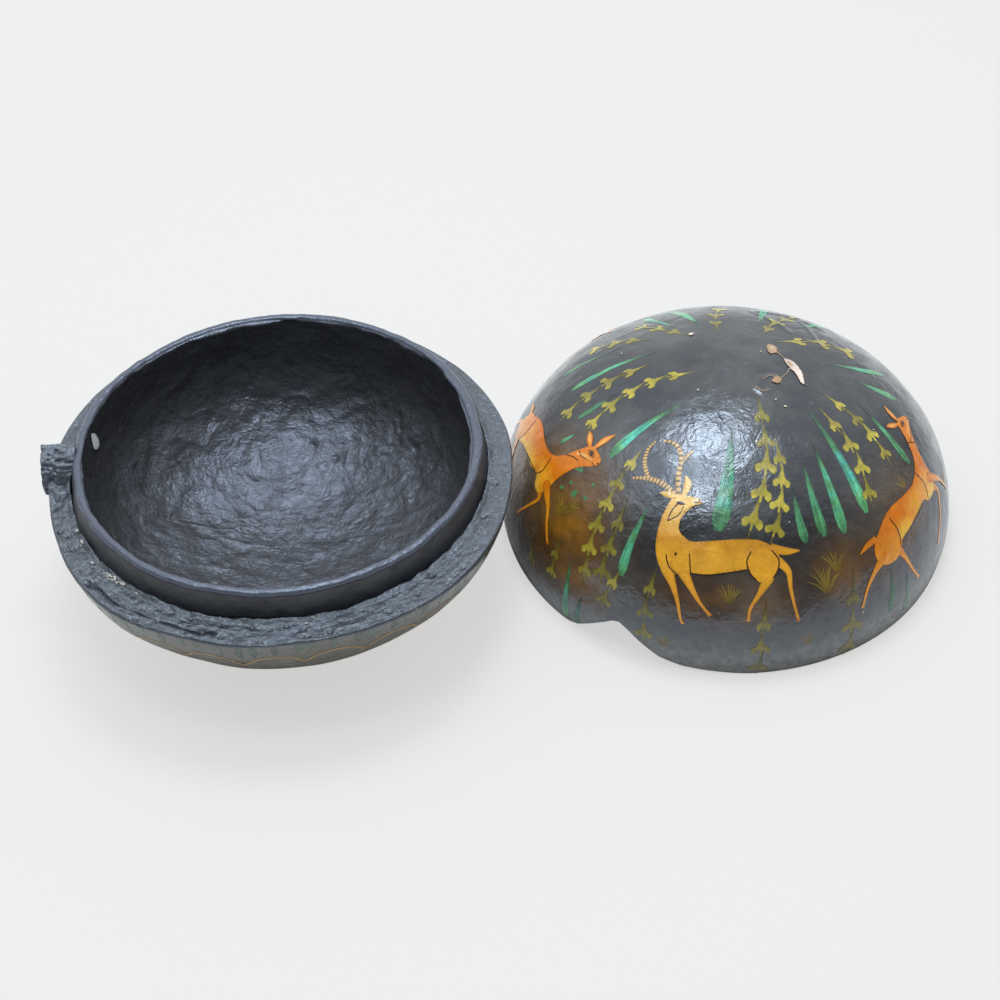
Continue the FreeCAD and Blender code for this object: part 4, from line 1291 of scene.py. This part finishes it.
def makeInnerBowl():
    bearing = roundBearings(baseShape["bowlColumns"])
    turn = np.linspace(math.pi / 2, 0, 96)
    square = baseShape["bowlSquare"]
    radius = np.concatenate([bowlBore * np.abs(np.cos(turn)) ** (2 / square), np.full(8, bowlBore)])
    height = np.concatenate([ledgeHeight - (ledgeHeight - bowlFloor) * np.sin(turn) ** (2 / square),
                             np.linspace(ledgeHeight, collarTop - baseShape["lipRound"], 9)[1:]])
    inside = circleRows(radius, height, bearing)
    fall = np.maximum(ledgeHeight - height, 0) ** (square - 1) / (ledgeHeight - bowlFloor) ** square
    spread = radius ** (square - 2) / bowlBore ** square
    out = np.concatenate([(inside - collarCentre)[..., :2] * spread[:, None, None],
                          np.broadcast_to(-fall[:, None, None], (*inside.shape[:2], 1))], axis=-1)
    out = out / np.linalg.norm(out, axis=-1, keepdims=True)
    pits = [bowlPlace(*pit[:2]) for pit in bowlWear["pits"]]
    sizes = [(wide, bowlWear["pitDeep"]) for _, _, wide in bowlWear["pits"]]
    for _ in range(bowlWear["dents"]):
        pits.append(bowlPlace(baseChance.uniform(0, 360), bowlFloor + 42 * baseChance.uniform(0, 1) ** 1.6))
        sizes.append((baseChance.uniform(*bowlWear["dentWide"]), baseChance.uniform(*bowlWear["dentDeep"])))
    push = dents(inside, pits, sizes) + lumps(inside, baseShape["bowlLumps"], 51)
    for k, (size, tall) in enumerate(baseShape["bowlWrinkles"]):
        crest = 1 - np.abs(softNoise(inside * [1, 1.6, 1], size, 56 + k))
        push -= tall * crest ** 3
    for crease in bowlWear["creases"]:
        line = np.array([bowlPlace(*spot) for spot in splineThrough(crease, 4.0)])
        gap = lineGap(inside.reshape(-1, 3), line).reshape(push.shape)
        push += 0.2 * np.exp(-(gap / 0.8) ** 2) - 0.12 * np.exp(-((gap - 2.0) / 1.0) ** 2)
    inside = inside + out * push[..., None]
    lipWide, bend = baseShape["lip"], baseShape["lipRound"]
    arcs = np.linspace(0, math.pi / 2, 6)[1:]
    lipEdge = collarTop - bend
    lipIn = circleRows(bowlBore + bend - bend * np.cos(arcs), lipEdge + bend * np.sin(arcs), bearing)
    start, end, thick = bowlWear["lipThick"]
    swing = (np.degrees(bearing) - start) % 360
    thicker = thick * smoothStep(swing, 0, 20) * smoothStep(swing, end - start, end - start - 3)
    outwards = aroundAxis(1.0, bearing)
    lipIn = lipIn - outwards * thicker[:, None]
    swell = thicker * smoothStep(height, collarTop - 6, collarTop - 1)[:, None]
    inside = inside - outwards * swell[..., None]
    lipOut = circleRows(bowlBore + lipWide - bend + bend * np.sin(arcs), lipEdge + bend * np.cos(arcs),
                        bearing)
    down = np.linspace(0, 1, 14)[1:]
    outer = circleRows(bowlBore + lipWide + (collarRoot - bowlBore - lipWide) * down,
                       lipEdge - (lipEdge - ledgeHeight) * down, bearing)
    collar = np.concatenate([lipIn, lipOut, outer])
    collar = collar + outwards * lumps(collar, baseShape["collarLumps"], 61)[..., None]
    collar[..., 2] += lumps(collar * [1, 1, 0], baseShape["lipLumps"], 71)
    turn = np.linspace(0, math.pi / 2, 12)[1:]
    deep = ledgeHeight - bowlFloor + baseShape["lining"]
    under = circleRows(collarRoot * np.cos(turn), ledgeHeight - deep * np.sin(turn), bearing)
    piece = turnedPiece("inner_bowl_brushed", np.concatenate([inside, collar, under]))
    # masks for the smoother lip, painted a lighter bluish sheen, and the browner outside of the collar,
    # darkening with painted shade towards its foot, in the order of the rows
    lipRows = len(lipIn) + len(lipOut)
    rows = np.concatenate([np.zeros(len(inside)), np.ones(lipRows), np.zeros(len(outer) + len(under))])
    brownerToShadedFoot = np.linspace(0.45, 1, len(outer))
    brown = np.concatenate([np.zeros(len(inside) + lipRows), brownerToShadedFoot, np.ones(len(under))])
    worn = np.zeros(collar.shape[:2])
    for _ in range(bowlWear["wornLip"]):
        around = baseChance.uniform(0, 360)
        edge = bowlBore + baseChance.choice([0.6, lipWide - 0.4])
        spot = collarCentre + polarPoint(around, edge, collarTop)
        strength = baseChance.uniform(0.3, 0.65)
        wide = baseChance.uniform(0.3, 0.8)
        worn = np.maximum(worn, strength * np.exp(-((collar - spot) ** 2).sum(axis=-1) / wide ** 2))
    scuffs = np.concatenate([np.zeros(inside.shape[:2]), worn, np.zeros(under.shape[:2])])
    for name, mask in (("lip", rows), ("collar", brown)):
        every = np.repeat(mask, baseShape["bowlColumns"])
        setMask(piece, name, np.append(every[baseShape["bowlColumns"]:-baseShape["bowlColumns"]], [0, 0]))
    setMask(piece, "worn", np.append(scuffs[1:-1].ravel(), [0, 0]))
    bearing, level, wide = bowlWear["glossy"]
    away = np.linalg.norm(vertexPlaces(piece) - bowlPlace(bearing, level), axis=1)
    setMask(piece, "glossy", np.exp(-(away / wide) ** 2))
    return piece


keyShape = {
    "grain": 0.3,  # size of the fine mesh
    "lumps": [(5, 0.16), (1.5, 0.14), (0.8, 0.12)],
    "pits": 170,
    "pitWide": (0.35, 0.8),
    "pitDeep": (0.25, 0.6),
    "overhang": 3.0,
    "taper": (189.5, 183),  # bearings between which the overhang grows, from the nose on
    "lean": (1.0, 2.7),  # how far the pulp leans over to the collar at its foot, and how much more at its top
    "leanFrom": (3.6, 1.2),  # distances from the collar between which the lean grows
}


def makeKeyBlock():
    # the block is remeshed finely and roughened like the ledge that it stands on
    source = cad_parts["key_block"]
    rough = bpy.data.objects.new("key_rough", source.data.copy())
    scene.collection.objects.link(rough)
    remesh = rough.modifiers.new("fine", "REMESH")
    remesh.mode = "VOXEL"
    remesh.voxel_size = keyShape["grain"] * mm
    bpy.context.view_layer.update()
    mesh = bpy.data.meshes.new_from_object(rough.evaluated_get(bpy.context.evaluated_depsgraph_get()))
    bpy.data.objects.remove(rough)
    places, normals = vertexValues(mesh, "co") / mm, vertexValues(mesh, "normal")
    pits = places[baseChance.integers(0, len(places), keyShape["pits"])]
    sizes = [pitSize(keyShape) for _ in pits]
    push = lumps(places, keyShape["lumps"], 81) - dents(places, pits, sizes) - 0.1
    places = places + normals * push[:, None]
    # pulp fills the gap to the collar, and the nose ends flush with the wall below
    turn = np.arctan2(places[:, 1], places[:, 0])
    away = np.hypot(places[:, 0], places[:, 1])
    rim = np.hypot(*baseOutside(turn, np.full(len(turn), ledgeHeight - 1))[:, :2].T)
    rise = smoothStep(places[:, 2], ledgeHeight, ledgeHeight + 12)
    rim = rim + keyShape["overhang"] * smoothStep(np.degrees(turn) % 360, *keyShape["taper"])
    foot, more = keyShape["lean"]
    near = smoothStep(away - collarRoot, *keyShape["leanFrom"])
    closer = np.minimum(away, rim) - (foot + more * rise) * near
    places[:, :2] *= (closer / away)[:, None]
    places[:, 2] = np.maximum(places[:, 2], ledgeHeight - 0.6)
    mesh.vertices.foreach_set("co", (places * mm).ravel())
    mesh.materials.clear()
    mesh.polygons.foreach_set("use_smooth", [True] * len(mesh.polygons))
    piece = bpy.data.objects.new("key_block_pulp", mesh)
    scene.collection.objects.link(piece)
    return piece


crumbs = {
    "count": 30,
    "heaped": 22,  # how many of them lie between these bearings
    "heap": (203, 234),
    "fromCollar": (0.8, 3.2),
    "size": (0.18, 0.62),
    "shape": [0.8, 1.7, 0.7],
}


def makeCrumbs():
    # pale crumbs of paste along the foot of the collar
    work = bmesh.new()
    bmesh.ops.create_icosphere(work, subdivisions=2, radius=1.0)
    ball = np.array([list(v.co) for v in work.verts])
    faces = np.array([[v.index for v in face.verts] for face in work.faces])
    work.free()
    points, every = [], []
    for k in range(crumbs["count"]):
        bearing = baseChance.uniform(*(crumbs["heap"] if k < crumbs["heaped"] else (0, 360)))
        away = collarRoot + baseChance.uniform(*crumbs["fromCollar"])
        size = baseChance.uniform(*crumbs["size"]) * (1.5 if k < 4 else 1)
        centre = collarCentre + polarPoint(bearing, away, ledgeHeight)
        centre[2] += float(ledgeRough(centre)) + 0.25 + 0.5 * max(0, 1 - (away - collarRoot) / 2.6)
        shape = ball * (1 + 0.4 * softNoise(ball * 3 + k, 1.6, 91)[:, None]) * size * crumbs["shape"]
        lean = math.radians(bearing)
        shape[:, :2] = shape[:, :2] @ np.array([[math.cos(lean), math.sin(lean)],
                                                [-math.sin(lean), math.cos(lean)]])
        every += (faces + len(ball) * k).tolist()
        points.append(centre + shape)
    return addObject("ledge_crumbs", np.concatenate(points), every)


def crumbFinish():
    material, tree, shader = newMaterial("paleCrumbs")
    shade = noise(tree, objectPlace(tree), 600.0, 4.0, 0.7)
    look = palette({"dull": (120, 118, 112), "pale": (206, 202, 192)})
    colour = mixColour(tree, fade(tree, shade, 0.35, 0.65), look["dull"], look["pale"])
    setInputs(tree, shader, {"Base Color": colour, "Roughness": 0.8})
    return material


baseShell = finishPiece(makeBaseShell(), "base", "lacquer", dullLacquerWithFloorSheen, "base_shell")
baseShell.data.materials.append(pulp)
levels = vertexPlaces(baseShell)[:, 2]
for polygon in baseShell.data.polygons:
    polygon.material_index = int(min(levels[k] for k in polygon.vertices) > ledgeHeight - 2.4)
finishPiece(makeLedgeRing(), "base", "pulp", pulp, "ledge_ring")
innerBowl = finishPiece(makeInnerBowl(), "base", "lining", lining, "inner_bowl")
finishPiece(makeKeyBlock(), "base", "pulp", pulp, "key_block")
finishPiece(makeCrumbs(), "base", "pulp", crumbFinish())
print("base made:", len(baseShell.data.vertices) + len(innerBowl.data.vertices), "points")


# Painting on the base

border = {"cusps": 24, "cuspHeight": 38.0, "archRise": 7.0, "firstCusp": 264.0, "leaves": 78, "leafTop": 53.2}


def onBase(flat, place, lift):
    # x runs round the rim in mm, y is the height
    turn = math.radians(place[0]) + flat[:, 0] / rimRadius
    return baseOutside(turn, flat[:, 1] + place[1], np.asarray(lift))


edging = newSheet(onBase)
span = 2 * math.pi * rimRadius / border["cusps"]
gold = shaded([(0, (176, 136, 66)), (0.5, (204, 164, 92)), (1, (172, 132, 62))], None, 12)
for k in range(border["cusps"]):
    place = (border["firstCusp"] + 360 / border["cusps"] * k, border["cuspHeight"], 0, 1)
    arch = [(0, 0, 1.2), (0.2 * span, 0.72 * border["archRise"], 0.9), (0.5 * span, border["archRise"], 0.8),
            (0.8 * span, 0.72 * border["archRise"], 0.9), (span, 0, 1.2)]
    drawStroke(edging, arch, place, 1, gold)
for k in range(border["leaves"]):
    turn = 360 / border["leaves"] * (k + baseChance.uniform(-0.2, 0.2))
    tall = baseChance.uniform(4, 9)
    leaf = [(baseChance.uniform(-1.5, 1.5), -tall, 0.3), (0, -0.5 * tall, 2.6), (0, 0, 2.0)]
    pale = baseChance.uniform(0.8, 1.1)
    green = shaded([(0, (58, 58, 46)), (0.5, (86 * pale, 104 * pale, 86 * pale)),
                    (1, (84 * pale, 98 * pale, 82 * pale))], None, 13)
    drawStroke(edging, leaf, (turn, border["leafTop"], 0, 1), 0, green, 5)
paintedPiece("base_border", edging, "base", "lacquer", paint)


def onBowl(flat, place, lift):
    # a small drawing on the bowl's wall; x runs round, y is the height
    turn = math.radians(place[0]) + flat[:, 0] / bowlBore
    height = place[1] + flat[:, 1]
    away = bowlBore - 0.25 - np.asarray(lift)
    return collarCentre + aroundAxis(away, turn, height)


bareSpot = newSheet(onBowl)
white = shaded([(-4, (236, 240, 244)), (4, (244, 247, 250))], (0, 1), 14)
drawPatch(bareSpot, bowlWear["chipOutline"], (*bowlWear["chip"], 0, 1), 6, white, 0.9, 0.5)
paintedPiece("bowl_bare_spot", bareSpot, "base", "lining", barePaper)
print("base painted")


# Stage, light and camera

studio = {
    "floor": (236, 235, 234),
    "floorSize": 6.0,
    "floorGlow": 0.72,  # share of the floor's look that shadows don't darken
    "floorLevel": 1.3,  # light that falls on the floor
    "room": (0.25, 1.25),  # level of the pale room, in front and up behind
    "roomSide": (0.0, 0.6, 0.8),
    "roomTint": (0.96, 0.98, 1.0),
    "boxHeight": 1.25,
    # where soft boxes hang, their width and depth, and power
    "boxes": [((0.10, 0.29), (0.42, 0.38), 8.0), ((-0.46, 0.08), (0.90, 0.70), 3.1),
              ((-0.06, -0.22), (0.22, 0.22), 3.2)],
    "boxAim": (0.08, 0.0, 0.04),
    "boxTint": (0.84, 0.93, 1.0),
}


def makeFloor():
    half = studio["floorSize"] / 2 / mm
    corners = [(x, y, -0.05) for x, y in ((-half, -half), (half, -half), (half, half), (-half, half))]
    floor = addObject("floor", corners, [(0, 1, 2, 3)])
    material, tree, shader = newMaterial("paleFloor")
    seen = put(tree, "ShaderNodeLightPath").outputs["Is Camera Ray"]
    pale = fromScreen(*studio["floor"])
    glow = studio["floorGlow"]
    dimmed = (*[c * (1 - glow) / studio["floorLevel"] for c in pale[:3]], 1)
    setInputs(tree, shader, {"Base Color": mixColour(tree, seen, pale, dimmed), "Emission Color": pale,
                             "Emission Strength": times(tree, seen, glow), "Roughness": 0.9,
                             "Specular IOR Level": 0.1})
    floor.data.materials.append(material)


def addLamp(name, place, aim, size, power, tint):
    lamp = bpy.data.lights.new(name, "AREA")
    lamp.shape = "RECTANGLE"
    lamp.size, lamp.size_y = size
    lamp.energy = power
    lamp.color = tint
    lampObject = bpy.data.objects.new(name, lamp)
    scene.collection.objects.link(lampObject)
    lampObject.location = place
    lampObject.rotation_euler = (aim - place).to_track_quat("-Z", "Y").to_euler()


def makeLights():
    world = bpy.data.worlds.new("whiteRoom")
    scene.world = world
    world.use_nodes = True
    tree = world.node_tree
    back = tree.nodes["Background"]
    back.inputs["Color"].default_value = (*studio["roomTint"], 1)
    around = put(tree, "ShaderNodeTexCoord").outputs["Generated"]
    side = put(tree, "ShaderNodeVectorMath", {0: around, 1: studio["roomSide"]}, operation="DOT_PRODUCT")
    tree.links.new(fade(tree, side.outputs["Value"], 0.15, 0.9, *studio["room"]), back.inputs["Strength"])
    for place, size, power in studio["boxes"]:
        above = Vector((*place, studio["boxHeight"]))
        addLamp("softBox", above, Vector(studio["boxAim"]), size, power, studio["boxTint"])


shot = {
    "eye": (82.1, -551.3, 583.2),
    "elevation": 44.75,  # degrees that the camera looks down
    "roll": -1.05,
    "lens": 73.354,
}


def makeCamera():
    down, roll = math.radians(shot["elevation"]), math.radians(shot["roll"])
    ahead = Vector((0, math.cos(down), -math.sin(down)))
    level, rise = Vector((1, 0, 0)), Vector((0, math.sin(down), math.cos(down)))
    right = level * math.cos(roll) + rise * math.sin(roll)
    up = rise * math.cos(roll) - level * math.sin(roll)
    camera = bpy.data.objects.new("camera", bpy.data.cameras.new("camera"))
    scene.collection.objects.link(camera)
    turn = Matrix((right, up, -ahead)).transposed().to_4x4()
    camera.matrix_world = Matrix.Translation(Vector(shot["eye"]) * mm) @ turn
    camera.data.lens = shot["lens"]
    camera.data.sensor_width = 36
    scene.camera = camera


makeFloor()
makeLights()
makeCamera()
scene.view_settings.view_transform = "Standard"
print("stage made")
